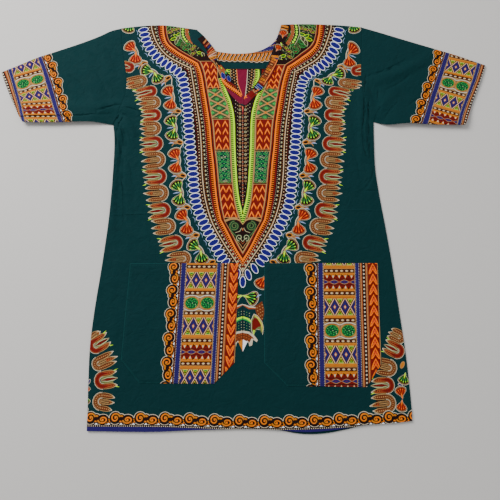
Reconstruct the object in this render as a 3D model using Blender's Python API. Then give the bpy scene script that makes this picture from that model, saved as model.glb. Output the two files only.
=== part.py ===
"""A dashiki shirt, laid flat on its back.

The shirt is an A-line tunic: a front and a back panel sewn at the shoulders and sides, two short sleeves set into
curved armholes, a V neck with a turned band down each side, a facing inside the back neck and two patch pockets with
cut corners. Every layer of cloth is a wall with its own two faces and a rim, a seam's gap above what it lies on.

Lengths are in metres. The origin lies under the middle of the shirt, +X runs to the right as one looks down at its
front, +Y runs from hem to neck and +Z is up. Left and right are those of that view.
"""

import math

import bpy
import numpy as np
from mathutils import Vector
from mathutils.bvhtree import BVHTree

# Cloth and seams
CLOTH = 0.0010  # wall of one layer
SEAM_GAP = 0.0003  # between pieces that are sewn together or lie on each other
HEM_DEPTH = 0.018  # turned up along the body's hem
CUFF_DEPTH = 0.016  # turned in at each cuff
HEM_PLY = 0.0010  # what a turned hem adds
HEM_STEP = 0.0025  # over which that height falls away at the stitching
HEM_EASE = 0.0095  # over which the front comes down behind the back's hem
POCKET_HEM = 0.026  # turned down along each pocket's mouth
POCKET_PLY = 0.0006

# How the shirt lies
HEM_Y = -0.420
HEM_FADE = 0.060  # above the hem, over which the rows straighten
TOP_Y = 0.412
NECK_ROW = 0.252  # the lowest point of the V
CENTRE_X = 0.001
FACING_Y = 0.317  # lower edge of the back neck facing
FACING_SIDES = (-0.090, 0.076)
NECK_LIFT = 0.0018  # the front stands this much higher where the facing lies under it
NECK_LIFT_REACH = 0.060
SLEEVE_LIFT = 0.0075  # the underarm edge of a sleeve springs up from the table
SLEEVE_PUFF = 0.0026  # air inside a sleeve, above the seam's gap
POCKET_GAPE = 0.0012  # how far a pocket's mouth stands off the front

# Side seams, hem to underarm
LEFT_SIDE = (  # x, y
    (-0.292, -0.420),
    (-0.293, -0.382),
    (-0.295, -0.308),
    (-0.295, -0.262),
    (-0.290, -0.194),
    (-0.281, -0.115),
    (-0.273, -0.034),
    (-0.268, 0.030),
    (-0.266, 0.092),
    (-0.267, 0.150),
    (-0.271, 0.190),
)
RIGHT_SIDE = (
    (0.318, -0.420),
    (0.319, -0.382),
    (0.317, -0.330),
    (0.312, -0.262),
    (0.305, -0.194),
    (0.297, -0.115),
    (0.287, -0.034),
    (0.276, 0.045),
    (0.271, 0.092),
    (0.271, 0.150),
    (0.272, 0.197),
)

# Armhole seams, underarm to shoulder
LEFT_ARMHOLE = (
    (-0.271, 0.190),
    (-0.259, 0.227),
    (-0.251, 0.256),
    (-0.248, 0.289),
    (-0.253, 0.325),
    (-0.260, 0.363),
    (-0.265, 0.412),
)
RIGHT_ARMHOLE = (
    (0.272, 0.197),
    (0.261, 0.222),
    (0.253, 0.250),
    (0.250, 0.286),
    (0.252, 0.350),
    (0.256, 0.4145),
)

# Shoulder seams, armhole to neck
LEFT_SHOULDER = ((-0.265, 0.412), (-0.224, 0.417), (-0.170, 0.419), (-0.130, 0.413), (-0.102, 0.408))
RIGHT_SHOULDER = ((0.256, 0.4145), (0.209, 0.419), (0.160, 0.4215), (0.122, 0.4220), (0.081, 0.4195))

# The body's lower edges, left to right. The back's hem shows a little below the front's on the right.
FRONT_HEM = (
    (-0.292, -0.420),
    (-0.155, -0.421),
    (-0.080, -0.418),
    (0.072, -0.418),
    (0.107, -0.4215),
    (0.179, -0.417),
    (0.222, -0.410),
    (0.290, -0.405),
    (0.318, -0.402),
)
BACK_HEM_DROP = ((-0.292, 0.0), (0.060, 0.0), (0.100, 0.003), (0.190, 0.003), (0.220, 0.0), (0.318, 0.0))

# Neckline of the back, shoulder to shoulder
BACK_NECK = (
    (-0.102, 0.408),
    (-0.089, 0.390),
    (-0.078, 0.372),
    (-0.066, 0.361),
    (-0.046, 0.356),
    (-0.018, 0.353),
    (0.003, 0.3535),
    (0.022, 0.356),
    (0.046, 0.365),
    (0.058, 0.373),
    (0.067, 0.382),
    (0.074, 0.397),
    (0.081, 0.4195),
)

# The turned band down each side of the V, shoulder to point
LEFT_BAND = (  # neck edge x, y, outer edge x, y
    (-0.101, 0.407, -0.116, 0.4095),
    (-0.087, 0.394, -0.113, 0.381),
    (-0.073, 0.376, -0.098, 0.367),
    (-0.062, 0.361, -0.083, 0.354),
    (-0.055, 0.341, -0.069, 0.334),
    (-0.046, 0.322, -0.060, 0.322),
    (-0.033, 0.307, -0.051, 0.304),
    (-0.022, 0.288, -0.043, 0.281),
    (-0.010, 0.267, -0.026, 0.256),
    (0.001, 0.252, 0.001, 0.229),
)
RIGHT_BAND = (
    (0.081, 0.4190, 0.097, 0.4200),
    (0.077, 0.401, 0.095, 0.396),
    (0.069, 0.378, 0.088, 0.377),
    (0.063, 0.362, 0.079, 0.358),
    (0.058, 0.341, 0.072, 0.333),
    (0.048, 0.319, 0.062, 0.304),
    (0.035, 0.297, 0.049, 0.285),
    (0.022, 0.275, 0.037, 0.267),
    (0.011, 0.262, 0.022, 0.252),
    (0.001, 0.252, 0.001, 0.229),
)

# Sleeves: shoulder fold, underarm fold and cuff
LEFT_SLEEVE_TOP = ((-0.265, 0.412), (-0.284, 0.407), (-0.309, 0.393), (-0.408, 0.352), (-0.515, 0.309))
LEFT_SLEEVE_LOW = (
    (-0.271, 0.190),
    (-0.292, 0.193),
    (-0.315, 0.195),
    (-0.342, 0.195),
    (-0.402, 0.193),
    (-0.458, 0.194),
)
LEFT_CUFF = ((-0.515, 0.309), (-0.504, 0.283), (-0.492, 0.256), (-0.479, 0.229), (-0.467, 0.207), (-0.458, 0.194))
RIGHT_SLEEVE_TOP = ((0.256, 0.4145), (0.277, 0.408), (0.337, 0.388), (0.410, 0.362), (0.516, 0.323))
RIGHT_SLEEVE_LOW = ((0.272, 0.197), (0.296, 0.192), (0.348, 0.195), (0.383, 0.191), (0.460, 0.187))
RIGHT_CUFF = ((0.516, 0.323), (0.501, 0.288), (0.485, 0.249), (0.470, 0.211), (0.460, 0.187))

# Patch pockets, mouth to bottom: the bottom corners are cut
LEFT_POCKET = (  # y at the left edge, left x, y at the right edge, right x
    (-0.102, -0.224, -0.102, -0.009),
    (-0.289, -0.234, -0.294, -0.015),
    (-0.333, -0.197, -0.334, -0.055),
)
RIGHT_POCKET = (
    (-0.102, 0.042, -0.102, 0.267),
    (-0.295, 0.041, -0.297, 0.266),
    (-0.338, 0.085, -0.340, 0.236),
)

# The largest folds of the front and of the sleeves' upper layers, as soft ridges
RIDGES = (  # x and y of one end, x and y of the other, bow to the left of that line, half width, height
    (-0.257, 0.178, -0.262, -0.030, -0.005, 0.0130, 0.0030),
    (-0.262, 0.215, -0.228, 0.150, 0.006, 0.0140, 0.0022),
    (-0.290, 0.236, -0.222, 0.236, 0.004, 0.0150, 0.0018),
    (-0.315, 0.372, -0.282, 0.300, 0.004, 0.0160, 0.0016),
    (0.243, 0.262, 0.247, 0.120, 0.004, 0.0140, 0.0024),
    (0.268, 0.215, 0.243, 0.292, -0.003, 0.0130, 0.0020),
    (0.282, 0.212, 0.318, 0.262, 0.004, 0.0140, 0.0020),
    (0.276, 0.290, 0.400, 0.348, -0.008, 0.0170, 0.0030),
    (-0.258, -0.012, -0.180, -0.080, 0.004, 0.0180, 0.0014),
    (0.262, 0.048, 0.200, 0.070, 0.004, 0.0150, 0.0012),
)

# Mesh density
FRONT_ROW_ZONES = (  # up to y, step
    (0.060, 0.0280),
    (LEFT_ARMHOLE[0][1], 0.0145),
    (RIGHT_ARMHOLE[0][1], 0.0070),
    (0.270, 0.0145),
    (TOP_Y, 0.0205),
)
HALF_COLUMNS = 16
COLUMN_CROWDING = 1.22  # above 1, columns crowd towards the side seams
BACK_ROW_STEP = 0.052
BACK_CLOSE_Y = 0.130  # above this the back's rows match the front's
SHOULDER_COLUMNS = 5
NECK_COLUMNS = 14
SLEEVE_SECTIONS = 14
BAND_ROWS = 22
POCKET_ROWS = 12
POCKET_COLUMNS = 12

CLOTH_COLOUR = (0.006, 0.041, 0.040)
BAND_COLOUR = (0.30, 0.09, 0.02)
FACING_COLOUR = (0.33, 0.12, 0.02)
CLOTH_ROUGHNESS = 0.85


def smoothstep(value):
    t = np.clip(value, 0.0, 1.0)
    return t * t * (3.0 - 2.0 * t)


def smooth_curve(points, steps=24):
    """Dense points of a curve through the given ones, with tangents from each point's neighbours."""
    p = np.array(points, float)
    spans = np.linalg.norm(np.diff(p, axis=0), axis=1)
    tangents = np.gradient(p, np.concatenate([[0.0], np.cumsum(spans)]), axis=0)
    dense = []
    for i, span in enumerate(spans):
        t = np.linspace(0.0, 1.0, steps, endpoint=False)[:, None]
        dense.append(
            (2 * t**3 - 3 * t**2 + 1) * p[i]
            + (t**3 - 2 * t**2 + t) * span * tangents[i]
            + (3 * t**2 - 2 * t**3) * p[i + 1]
            + (t**3 - t**2) * span * tangents[i + 1]
        )
    return np.vstack(dense + [p[-1:]])


def along(curve, fractions):
    """The curve's points at fractions of its length."""
    run = np.concatenate([[0.0], np.cumsum(np.linalg.norm(np.diff(curve, axis=0), axis=1))])
    at = np.asarray(fractions, float) * run[-1]
    return np.stack([np.interp(at, run, curve[:, axis]) for axis in (0, 1)], axis=-1)


def across_at(curve, y):
    """The curve's x at y."""
    order = np.argsort(curve[:, 1], kind="stable")
    return np.interp(y, curve[order, 1], curve[order, 0])


def level_at(curve, x):
    """The curve's y at x."""
    order = np.argsort(curve[:, 0], kind="stable")
    return np.interp(x, curve[order, 0], curve[order, 1])


def patch(start, end, first_side, last_side, across, onward):
    """A grid of points between four edges: start and end run across, the two sides run onward."""
    u = np.asarray(across, float)[None, :, None]
    v = np.asarray(onward, float)[:, None, None]
    low, high = along(start, across)[None], along(end, across)[None]
    side_a, side_b = along(first_side, onward)[:, None], along(last_side, onward)[:, None]
    corners = (1 - u) * (1 - v) * start[0] + u * (1 - v) * start[-1] + (1 - u) * v * end[0] + u * v * end[-1]
    return (1 - v) * low + v * high + (1 - u) * side_a + u * side_b - corners


def distance_along(points, a, b, bow):
    """How far points lie from a bowed line from a to b, and the fraction of the line that they are at."""
    a, b = np.array(a), np.array(b)
    span = b - a
    length = np.hypot(*span)
    onward = span / length
    sideways = np.array([-onward[1], onward[0]])
    at = (points - a) @ onward / length
    held = np.clip(at, 0.0, 1.0)
    off = (points - a) @ sideways - bow * 4 * held * (1 - held)
    past = (at - held) * length
    return np.hypot(off, past), held


def relief(points):
    """How far the folds lift the upper layer at points."""
    height = np.zeros(points.shape[:-1])
    for x0, y0, x1, y1, bow, half_width, rise in RIDGES:
        away, held = distance_along(points, (x0, y0), (x1, y1), bow)
        profile = np.clip(1 - (away / half_width) ** 2, 0.0, 1.0) ** 2
        height += rise * profile * (0.25 + 0.75 * np.sin(math.pi * np.clip(0.08 + 0.84 * held, 0, 1)))
    return height


def neck_lift(points):
    """The front rides over the back neck facing at the neck's two sides."""
    x, y = points[..., 0], points[..., 1]
    beyond = np.maximum.reduce([FACING_SIDES[0] - x, x - FACING_SIDES[1], FACING_Y - y, np.zeros_like(x)])
    return NECK_LIFT * (1 - smoothstep(beyond / NECK_LIFT_REACH))


def turned_hem(points, hem, depth, step):
    """The height that a turned hem adds, down to nothing over a step above its depth."""
    up = points[..., 1] - level_at(hem, points[..., 0])
    return HEM_PLY * (1 - smoothstep((up - depth) / step))


def hem_levels():
    """The body's lowest rows, close together at the hem's stitching."""
    return [HEM_Y + up for up in (0.0, HEM_DEPTH / 2, HEM_DEPTH, HEM_DEPTH + HEM_STEP, HEM_DEPTH + HEM_STEP + HEM_EASE)]


def shoulder_share(level):
    """How far a row follows the shoulder's own curve."""
    return smoothstep((level - 0.330) / (TOP_Y - 0.330))


def hem_share(level):
    """How far a row follows the hem's own curve."""
    return 1 - smoothstep((level - hem_levels()[-1]) / HEM_FADE)


def grid_faces(rows, columns, first=0):
    faces = []
    for row in range(rows - 1):
        for column in range(columns - 1):
            corner = first + row * columns + column
            faces.append((corner, corner + 1, corner + columns + 1, corner + columns))
    return faces


def cloth_material(name, colour):
    material = bpy.data.materials.new(name)
    material.use_nodes = True
    shader = material.node_tree.nodes["Principled BSDF"]
    shader.inputs["Base Color"].default_value = (*colour, 1.0)
    shader.inputs["Roughness"].default_value = CLOTH_ROUGHNESS
    shader.inputs["Metallic"].default_value = 0.0
    return material


def add_piece(name, points, faces, colour, parent):
    mesh = bpy.data.meshes.new(name)
    mesh.from_pydata([tuple(p) for p in points], [], faces)
    mesh.shade_smooth()
    mesh.set_sharp_from_angle(angle=math.radians(40))
    mesh.materials.append(cloth_material(name + "_cloth", colour))
    piece = bpy.data.objects.new(name, mesh)
    bpy.context.scene.collection.objects.link(piece)
    piece.parent = parent
    return piece


def wall_points(plan, faces, under, over):
    """A sheet's lower and upper faces over one plan, closed by a rim along every free edge."""
    count = len(plan)
    points = np.vstack([np.column_stack([plan, under]), np.column_stack([plan, over])])
    solid = [tuple(i + count for i in face) for face in faces]
    solid += [tuple(reversed(face)) for face in faces]
    directed = {}
    for face in faces:
        for a, b in zip(face, face[1:] + face[:1]):
            directed[(a, b)] = True
    for a, b in directed:
        if (b, a) not in directed:
            solid.append((a, b, b + count, a + count))
    return points, solid


def front_levels():
    """The front's rows, hem to shoulder, with one at the point of the V."""
    levels = hem_levels()
    for high, step in FRONT_ROW_ZONES:
        count = max(1, round((high - levels[-1]) / step))
        levels += list(np.linspace(levels[-1], high, count + 1))[1:]
    levels = np.array(levels)
    levels[np.argmin(abs(levels - NECK_ROW))] = NECK_ROW
    return levels


def body_edges():
    """Each side's outline from hem to shoulder."""
    left = np.vstack([smooth_curve(LEFT_SIDE)[:-1], smooth_curve(LEFT_ARMHOLE)])
    right = np.vstack([smooth_curve(RIGHT_SIDE)[:-1], smooth_curve(RIGHT_ARMHOLE)])
    return left, right


def half_front(outer, inner, shoulder, hem, levels, fractions):
    """Rows of one half of the front, from its side seam to the centre line or the neck's edge."""
    rows = []
    for level in levels:
        y = np.full(len(fractions), level)
        for _ in range(3):
            side = across_at(outer, y)
            middle = np.where(y > NECK_ROW, across_at(inner, y), CENTRE_X)
            x = side + (middle - side) * fractions
            y = level + shoulder_share(level) * (level_at(shoulder, x) - TOP_Y)
            y += hem_share(level) * (level_at(hem, x) - HEM_Y)
        rows.append(np.column_stack([x, y]))
    return rows


def front_plan():
    """The front's points and faces in plan. Its halves share the centre line up to the point of the V."""
    left_edge, right_edge = body_edges()
    hem = smooth_curve(FRONT_HEM)
    levels = front_levels()
    fractions = np.linspace(0.0, 1.0, HALF_COLUMNS + 1) ** COLUMN_CROWDING
    left_neck = smooth_curve([row[:2] for row in LEFT_BAND])
    right_neck = smooth_curve([row[:2] for row in RIGHT_BAND])
    left = half_front(left_edge, left_neck, smooth_curve(LEFT_SHOULDER), hem, levels, fractions)
    right = half_front(right_edge, right_neck, smooth_curve(RIGHT_SHOULDER), hem, levels, fractions)
    points, index = [], []
    for level, left_row, right_row in zip(levels, left, right):
        start = len(points)
        points += list(left_row)
        left_numbers = list(range(start, start + HALF_COLUMNS + 1))
        if level <= NECK_ROW:
            points += list(right_row[:-1])
            right_numbers = list(range(len(points) - HALF_COLUMNS, len(points))) + [left_numbers[-1]]
        else:
            points += list(right_row)
            right_numbers = list(range(len(points) - HALF_COLUMNS - 1, len(points)))
        index.append((left_numbers, right_numbers))
    faces = []
    for (left_low, right_low), (left_high, right_high) in zip(index, index[1:]):
        for i in range(HALF_COLUMNS):
            faces.append((left_low[i], left_low[i + 1], left_high[i + 1], left_high[i]))
            faces.append((right_low[i + 1], right_low[i], right_high[i], right_high[i + 1]))
    return np.array(points), faces


def front_under(points, back_hem):
    """The lower face of the front, over the back panel, its hem, the facing and the air in the folds."""
    resting = CLOTH + SEAM_GAP + turned_hem(points, back_hem, HEM_DEPTH + HEM_STEP, HEM_EASE)
    return resting + relief(points) + neck_lift(points)


def back_hem_curve():
    front = smooth_curve(FRONT_HEM)
    drop = smooth_curve(BACK_HEM_DROP)
    return np.column_stack([front[:, 0], front[:, 1] - np.interp(front[:, 0], drop[:, 0], drop[:, 1])])


def front_panel(parent):
    plan, faces = front_plan()
    under = front_under(plan, back_hem_curve())
    over = under + CLOTH + turned_hem(plan, smooth_curve(FRONT_HEM), HEM_DEPTH, HEM_STEP)
    points, solid = wall_points(plan, faces, under, over)
    return add_piece("front_panel", points, solid, CLOTH_COLOUR, parent)


def back_panel(parent):
    """The back lies flat: straight rows up to the point of the V, then rows that bend up to shoulders and neck."""
    left_edge, right_edge = body_edges()
    hem = back_hem_curve()
    span = RIGHT_SHOULDER[0][0] - LEFT_SHOULDER[0][0]
    neck_from = (LEFT_SHOULDER[-1][0] - LEFT_SHOULDER[0][0]) / span
    neck_to = (RIGHT_SHOULDER[-1][0] - LEFT_SHOULDER[0][0]) / span
    across = np.concatenate(
        [
            np.linspace(0, neck_from, SHOULDER_COLUMNS, endpoint=False),
            np.linspace(neck_from, neck_to, NECK_COLUMNS, endpoint=False),
            np.linspace(neck_to, 1, SHOULDER_COLUMNS + 1),
        ]
    )
    levels = hem_levels()
    count = max(1, round((BACK_CLOSE_Y - levels[-1]) / BACK_ROW_STEP))
    levels += list(np.linspace(levels[-1], BACK_CLOSE_Y, count + 1))[1:]
    close = front_levels()
    levels += [level for level in close if BACK_CLOSE_Y + 0.008 < level <= NECK_ROW]
    rows = []
    for level in levels:
        y = np.full(len(across), level)
        for _ in range(3):
            x = across_at(left_edge, y) * (1 - across) + across_at(right_edge, y) * across
            y = level + hem_share(level) * (level_at(hem, x) - HEM_Y)
        rows.append(np.column_stack([x, y]))
    top = np.vstack(
        [
            along(smooth_curve(LEFT_SHOULDER), np.linspace(0, 1, SHOULDER_COLUMNS, endpoint=False)),
            along(smooth_curve(BACK_NECK), np.linspace(0, 1, NECK_COLUMNS, endpoint=False)),
            along(smooth_curve(RIGHT_SHOULDER)[::-1], np.linspace(0, 1, SHOULDER_COLUMNS + 1)),
        ]
    )
    for onward in (close[close > NECK_ROW] - NECK_ROW) / (TOP_Y - NECK_ROW):
        straight = rows[len(levels) - 1] * (1 - onward) + top * onward
        bend = np.zeros(len(across))
        for column, edge, share in ((0, left_edge, 1 - across), (-1, right_edge, across)):
            bend += (across_at(edge, straight[column, 1]) - straight[column, 0]) * share**3
        straight[:, 0] += bend
        rows.append(straight)
    plan = np.vstack(rows)
    faces = grid_faces(len(rows), len(across))
    under = np.zeros(len(plan))
    over = CLOTH + turned_hem(plan, hem, HEM_DEPTH, HEM_STEP)
    points, solid = wall_points(plan, faces, under, over)
    return add_piece("back_panel", points, solid, CLOTH_COLOUR, parent)


def sleeve(name, top, low, cuff, armhole, parent):
    """A flattened tube, open at armhole and cuff: an upper and a lower layer that meet in two folds."""
    outward = math.copysign(1.0, cuff[0][0])
    arm = smooth_curve(armhole)
    levels = front_levels()
    levels = levels[levels >= armhole[0][1] - 1e-6]
    levels = levels + shoulder_share(levels) * (armhole[-1][1] - TOP_Y)
    run = np.concatenate([[0.0], np.cumsum(np.linalg.norm(np.diff(arm, axis=0), axis=1))])
    seam_points = 1 - np.interp(levels, arm[:, 1], run / run[-1])[::-1]
    slope = np.gradient(arm, axis=0)
    sideways = outward * np.column_stack([slope[:, 1], -slope[:, 0]])
    arm = (arm + SEAM_GAP * sideways / np.linalg.norm(sideways, axis=1)[:, None])[::-1]
    top, low, cuff = (smooth_curve(edge) for edge in (top, low, cuff))
    top[0], low[0] = arm[0], arm[-1]
    onward = np.linspace(0.0, 1.0, SLEEVE_SECTIONS)
    cuff_length = np.linalg.norm(top[-1] - low[-1])
    sleeve_length = np.linalg.norm(top[-1] - top[0])
    onward = np.sort(np.append(onward, 1 - CUFF_DEPTH / sleeve_length * np.array([0.98, 1.22])))
    fold = 1.15 * CLOTH / cuff_length
    inner = 1.0 * CLOTH / cuff_length
    down = np.concatenate([[0.0, fold], seam_points[1:-1], [1 - fold, 1.0]])
    plan = patch(arm, cuff, top, low, down, onward)
    inset = np.concatenate([[inner], down[1:-1], [1 - inner]])
    inside_plan = patch(arm, cuff, top, low, inset, onward)

    t, s = down[None, :], onward[:, None]
    opened = smoothstep(s / 0.30)
    lower_under = SLEEVE_LIFT * smoothstep((t - 0.62) / 0.38) * opened
    puff = SLEEVE_PUFF * np.sqrt(np.clip(np.sin(math.pi * t), 0, 1)) * opened
    upper_under = lower_under + CLOTH + SEAM_GAP + puff + relief(plan) * (4 * t * (1 - t)) ** 0.25
    upper_under[0] = CLOTH + SEAM_GAP + relief(plan[0])
    hem_from = 1 - CUFF_DEPTH / sleeve_length * 1.2
    ply = POCKET_PLY * smoothstep((s - hem_from) / (1 - hem_from) * 4)
    lower_over = lower_under + CLOTH
    upper_over = upper_under + CLOTH + ply
    middle = (lower_under + upper_over) / 2

    points, faces = [], []
    last = len(down) - 1
    sections, around = len(onward), 2 * last
    for wall_plan, upper, lower in ((plan, upper_over, lower_under), (inside_plan, upper_under, lower_over)):
        for k in range(sections):
            ring = [(0, middle)] + [(i, upper) for i in range(1, last)]
            ring += [(last, middle)] + [(i, lower) for i in range(last - 1, 0, -1)]
            points += [(*wall_plan[k, i], height[k, i]) for i, height in ring]
    inside = sections * around
    for k in range(sections - 1):
        for i in range(around):
            j = (i + 1) % around
            a, b, c, d = (k * around + i, k * around + j, (k + 1) * around + j, (k + 1) * around + i)
            faces.append((a, b, c, d))
            faces.append((inside + d, inside + c, inside + b, inside + a))
    for k, flip in ((0, True), (sections - 1, False)):
        for i in range(around):
            j = (i + 1) % around
            rim = (k * around + i, k * around + j, inside + k * around + j, inside + k * around + i)
            faces.append(tuple(reversed(rim)) if flip else rim)
    if outward < 0:
        faces = [tuple(reversed(face)) for face in faces]
    return add_piece(name, points, faces, CLOTH_COLOUR, parent)


class Surface:
    """The upper face of a piece, to lay another one on."""

    def __init__(self, piece):
        mesh = piece.data
        self.tree = BVHTree.FromPolygons([v.co for v in mesh.vertices], [p.vertices for p in mesh.polygons])

    def height(self, plan):
        """The highest level within a seam's reach of each point."""
        reach = 0.002
        levels = []
        for x, y in plan:
            hits = [
                self.tree.ray_cast(Vector((x + dx, y + dy, 1.0)), Vector((0, 0, -1)))[0]
                for dx, dy in ((0, 0), (reach, 0), (-reach, 0), (0, reach), (0, -reach))
            ]
            levels.append(max((hit.z for hit in hits if hit), default=math.nan))
        levels = np.array(levels)
        known = ~np.isnan(levels)
        return np.interp(np.arange(len(levels)), np.flatnonzero(known), levels[known])


def neck_band(name, table, front, parent):
    """A strip turned out over the neck's edge."""
    rows = np.array(table, float)
    side = math.copysign(1.0, rows[0, 2])
    inner = along(smooth_curve(rows[:, :2]), np.linspace(0, 1, BAND_ROWS))
    outer = along(smooth_curve(rows[:, 2:]), np.linspace(0, 1, BAND_ROWS))
    inner[:, 0] += side * SEAM_GAP
    outer[-1, 0] = inner[-1, 0] = CENTRE_X + side * SEAM_GAP
    plan = np.vstack([inner, (inner + outer) / 2, outer])
    faces = grid_faces(3, BAND_ROWS)
    if side < 0:
        faces = [tuple(reversed(face)) for face in faces]
    under = front.height(plan) + SEAM_GAP
    points, solid = wall_points(plan, faces, under, under + CLOTH)
    return add_piece(name, points, solid, BAND_COLOUR, parent)


def back_neck_facing(parent):
    """A facing sewn along the back neck and turned inside, with a straight lower edge."""
    neck = smooth_curve(BACK_NECK)
    across = np.linspace(FACING_SIDES[0], FACING_SIDES[1], 23)
    rows = []
    for up in np.linspace(0.0, 1.0, 5):
        top = level_at(neck, across) - SEAM_GAP * 2
        rows.append(np.column_stack([across, FACING_Y + (top - FACING_Y) * up]))
    plan = np.vstack(rows)
    under = np.full(len(plan), CLOTH + SEAM_GAP)
    points, solid = wall_points(plan, grid_faces(5, len(across)), under, under + CLOTH)
    return add_piece("back_neck_facing", points, solid, FACING_COLOUR, parent)


def pocket(name, table, front, parent):
    """A patch pocket: a turned mouth, straight sides and a bottom with its corners cut off."""
    rows = np.array(table, float)
    depth = np.linspace(0.0, 1.0, POCKET_ROWS)
    mouth_rows = POCKET_HEM / (rows[0, 0] - rows[-1, 0]) * np.array([0.98, 1.10])
    depth = np.sort(np.append(depth, mouth_rows))
    corner = (rows[0, 0] - rows[1, 0]) / (rows[0, 0] - rows[-1, 0])
    depth[np.argmin(abs(depth - corner))] = corner
    bends = (0.0, corner, 1.0)
    left = np.column_stack([np.interp(depth, bends, rows[:, 1]), np.interp(depth, bends, rows[:, 0])])
    right = np.column_stack([np.interp(depth, bends, rows[:, 3]), np.interp(depth, bends, rows[:, 2])])
    across = np.linspace(0.0, 1.0, POCKET_COLUMNS + 1)
    plan = np.vstack([a * (1 - across)[:, None] + b * across[:, None] for a, b in zip(left, right)])
    faces = [tuple(reversed(face)) for face in grid_faces(len(depth), len(across))]
    down = np.repeat(depth, len(across))
    gape = POCKET_GAPE * np.sin(math.pi * np.tile(across, len(depth))) * (1 - smoothstep(down / 0.5))
    under = front.height(plan) + SEAM_GAP + gape
    turned = POCKET_PLY * (1 - smoothstep((down - mouth_rows[0]) / (mouth_rows[1] - mouth_rows[0])))
    points, solid = wall_points(plan, faces, under, under + CLOTH + turned)
    return add_piece(name, points, solid, CLOTH_COLOUR, parent)


def centre(shirt, pieces):
    """Moves the shirt so that the origin is under the middle of it."""
    corners = np.array([v.co for piece in pieces for v in piece.data.vertices])
    low, high = corners.min(axis=0), corners.max(axis=0)
    shirt.location = (-(low[0] + high[0]) / 2, -(low[1] + high[1]) / 2, -low[2])


def build():
    for old in list(bpy.data.objects):
        bpy.data.objects.remove(old)
    shirt = bpy.data.objects.new("shirt", None)
    bpy.context.scene.collection.objects.link(shirt)
    front = front_panel(shirt)
    top = Surface(front)
    pieces = [
        front,
        back_panel(shirt),
        sleeve("sleeve_left", LEFT_SLEEVE_TOP, LEFT_SLEEVE_LOW, LEFT_CUFF, LEFT_ARMHOLE, shirt),
        sleeve("sleeve_right", RIGHT_SLEEVE_TOP, RIGHT_SLEEVE_LOW, RIGHT_CUFF, RIGHT_ARMHOLE, shirt),
        neck_band("neck_band_left", LEFT_BAND, top, shirt),
        neck_band("neck_band_right", RIGHT_BAND, top, shirt),
        back_neck_facing(shirt),
        pocket("pocket_left", LEFT_POCKET, top, shirt),
        pocket("pocket_right", RIGHT_POCKET, top, shirt),
    ]
    centre(shirt, pieces)


build()
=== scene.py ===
"""A dashiki shirt laid flat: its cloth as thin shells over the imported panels, cut along the outlines of the print.

Lengths are in metres where the cloth's form is made, and in millimetres in the print. Positions are those of the
shirt as it was laid out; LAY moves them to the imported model's origin.
"""

import math

import bpy
import numpy as np
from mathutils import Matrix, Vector
from mathutils.geometry import delaunay_2d_cdt
from mathutils.kdtree import KDTree


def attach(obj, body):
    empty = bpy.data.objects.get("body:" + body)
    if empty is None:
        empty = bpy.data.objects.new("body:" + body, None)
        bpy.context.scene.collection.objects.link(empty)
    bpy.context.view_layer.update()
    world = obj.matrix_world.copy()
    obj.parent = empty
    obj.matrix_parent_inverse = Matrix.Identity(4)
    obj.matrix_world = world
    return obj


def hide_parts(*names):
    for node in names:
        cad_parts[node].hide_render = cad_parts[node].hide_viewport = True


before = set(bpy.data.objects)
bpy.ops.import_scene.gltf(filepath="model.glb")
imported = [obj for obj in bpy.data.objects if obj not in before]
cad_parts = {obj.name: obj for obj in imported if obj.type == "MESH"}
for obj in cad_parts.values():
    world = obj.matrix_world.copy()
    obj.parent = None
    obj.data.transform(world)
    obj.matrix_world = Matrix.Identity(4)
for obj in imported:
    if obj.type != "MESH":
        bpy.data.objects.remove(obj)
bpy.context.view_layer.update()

# ---------------------------------------------------------------------------------------------------------------------
# Camera, floor and light. The camera looks down from 10 degrees on the hem's side. The floor is a plain pale one, and
# the light is soft daylight from the upper left with a weak fill from all round.
# ---------------------------------------------------------------------------------------------------------------------
LAY = np.array((-0.0005, 0.0016147, 0.0))
LOOK_AT = Vector((0.0138, -0.0748, 0.0)) + Vector(LAY)
CAMERA_TILT = math.radians(10)
CAMERA_DISTANCE = 1.0

camera = bpy.data.objects.new("camera", bpy.data.cameras.new("camera"))
camera.data.lens = 36.0
camera.data.sensor_width = 36.0
camera.data.clip_start = 0.01
camera.location = LOOK_AT + CAMERA_DISTANCE * Vector((0, -math.sin(CAMERA_TILT), math.cos(CAMERA_TILT)))
camera.rotation_euler = (CAMERA_TILT, 0, 0)
bpy.context.scene.collection.objects.link(camera)
bpy.context.scene.camera = camera

bpy.ops.mesh.primitive_plane_add(size=60, location=(0, 0, -0.0004))
floor = bpy.context.object
floor.name = "floor"
floor_material = bpy.data.materials.new("floor_paint")
floor_material.use_nodes = True
floor_shader = floor_material.node_tree.nodes["Principled BSDF"]
floor_shader.inputs["Base Color"].default_value = (0.66, 0.638, 0.612, 1)
floor_shader.inputs["Roughness"].default_value = 0.9
floor_shader.inputs["Specular IOR Level"].default_value = 0.2
floor.data.materials.append(floor_material)

for lamp_name, place, size, power in (
    ("window", (-1.25, 1.3, 1.55), 1.4, 66),
    ("fill", (1.4, -1.0, 2.6), 2.8, 8),
):
    lamp = bpy.data.objects.new(lamp_name, bpy.data.lights.new(lamp_name, "AREA"))
    lamp.data.shape = "DISK"
    lamp.data.size = size
    lamp.data.energy = power
    lamp.location = place
    lamp.rotation_euler = (-Vector(place)).to_track_quat("-Z", "Y").to_euler()
    bpy.context.scene.collection.objects.link(lamp)
world = bpy.data.worlds.new("world")
world.use_nodes = True
world.node_tree.nodes["Background"].inputs["Color"].default_value = (0.96, 0.98, 1.0, 1)
world.node_tree.nodes["Background"].inputs["Strength"].default_value = 0.52
bpy.context.scene.world = world

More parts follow.
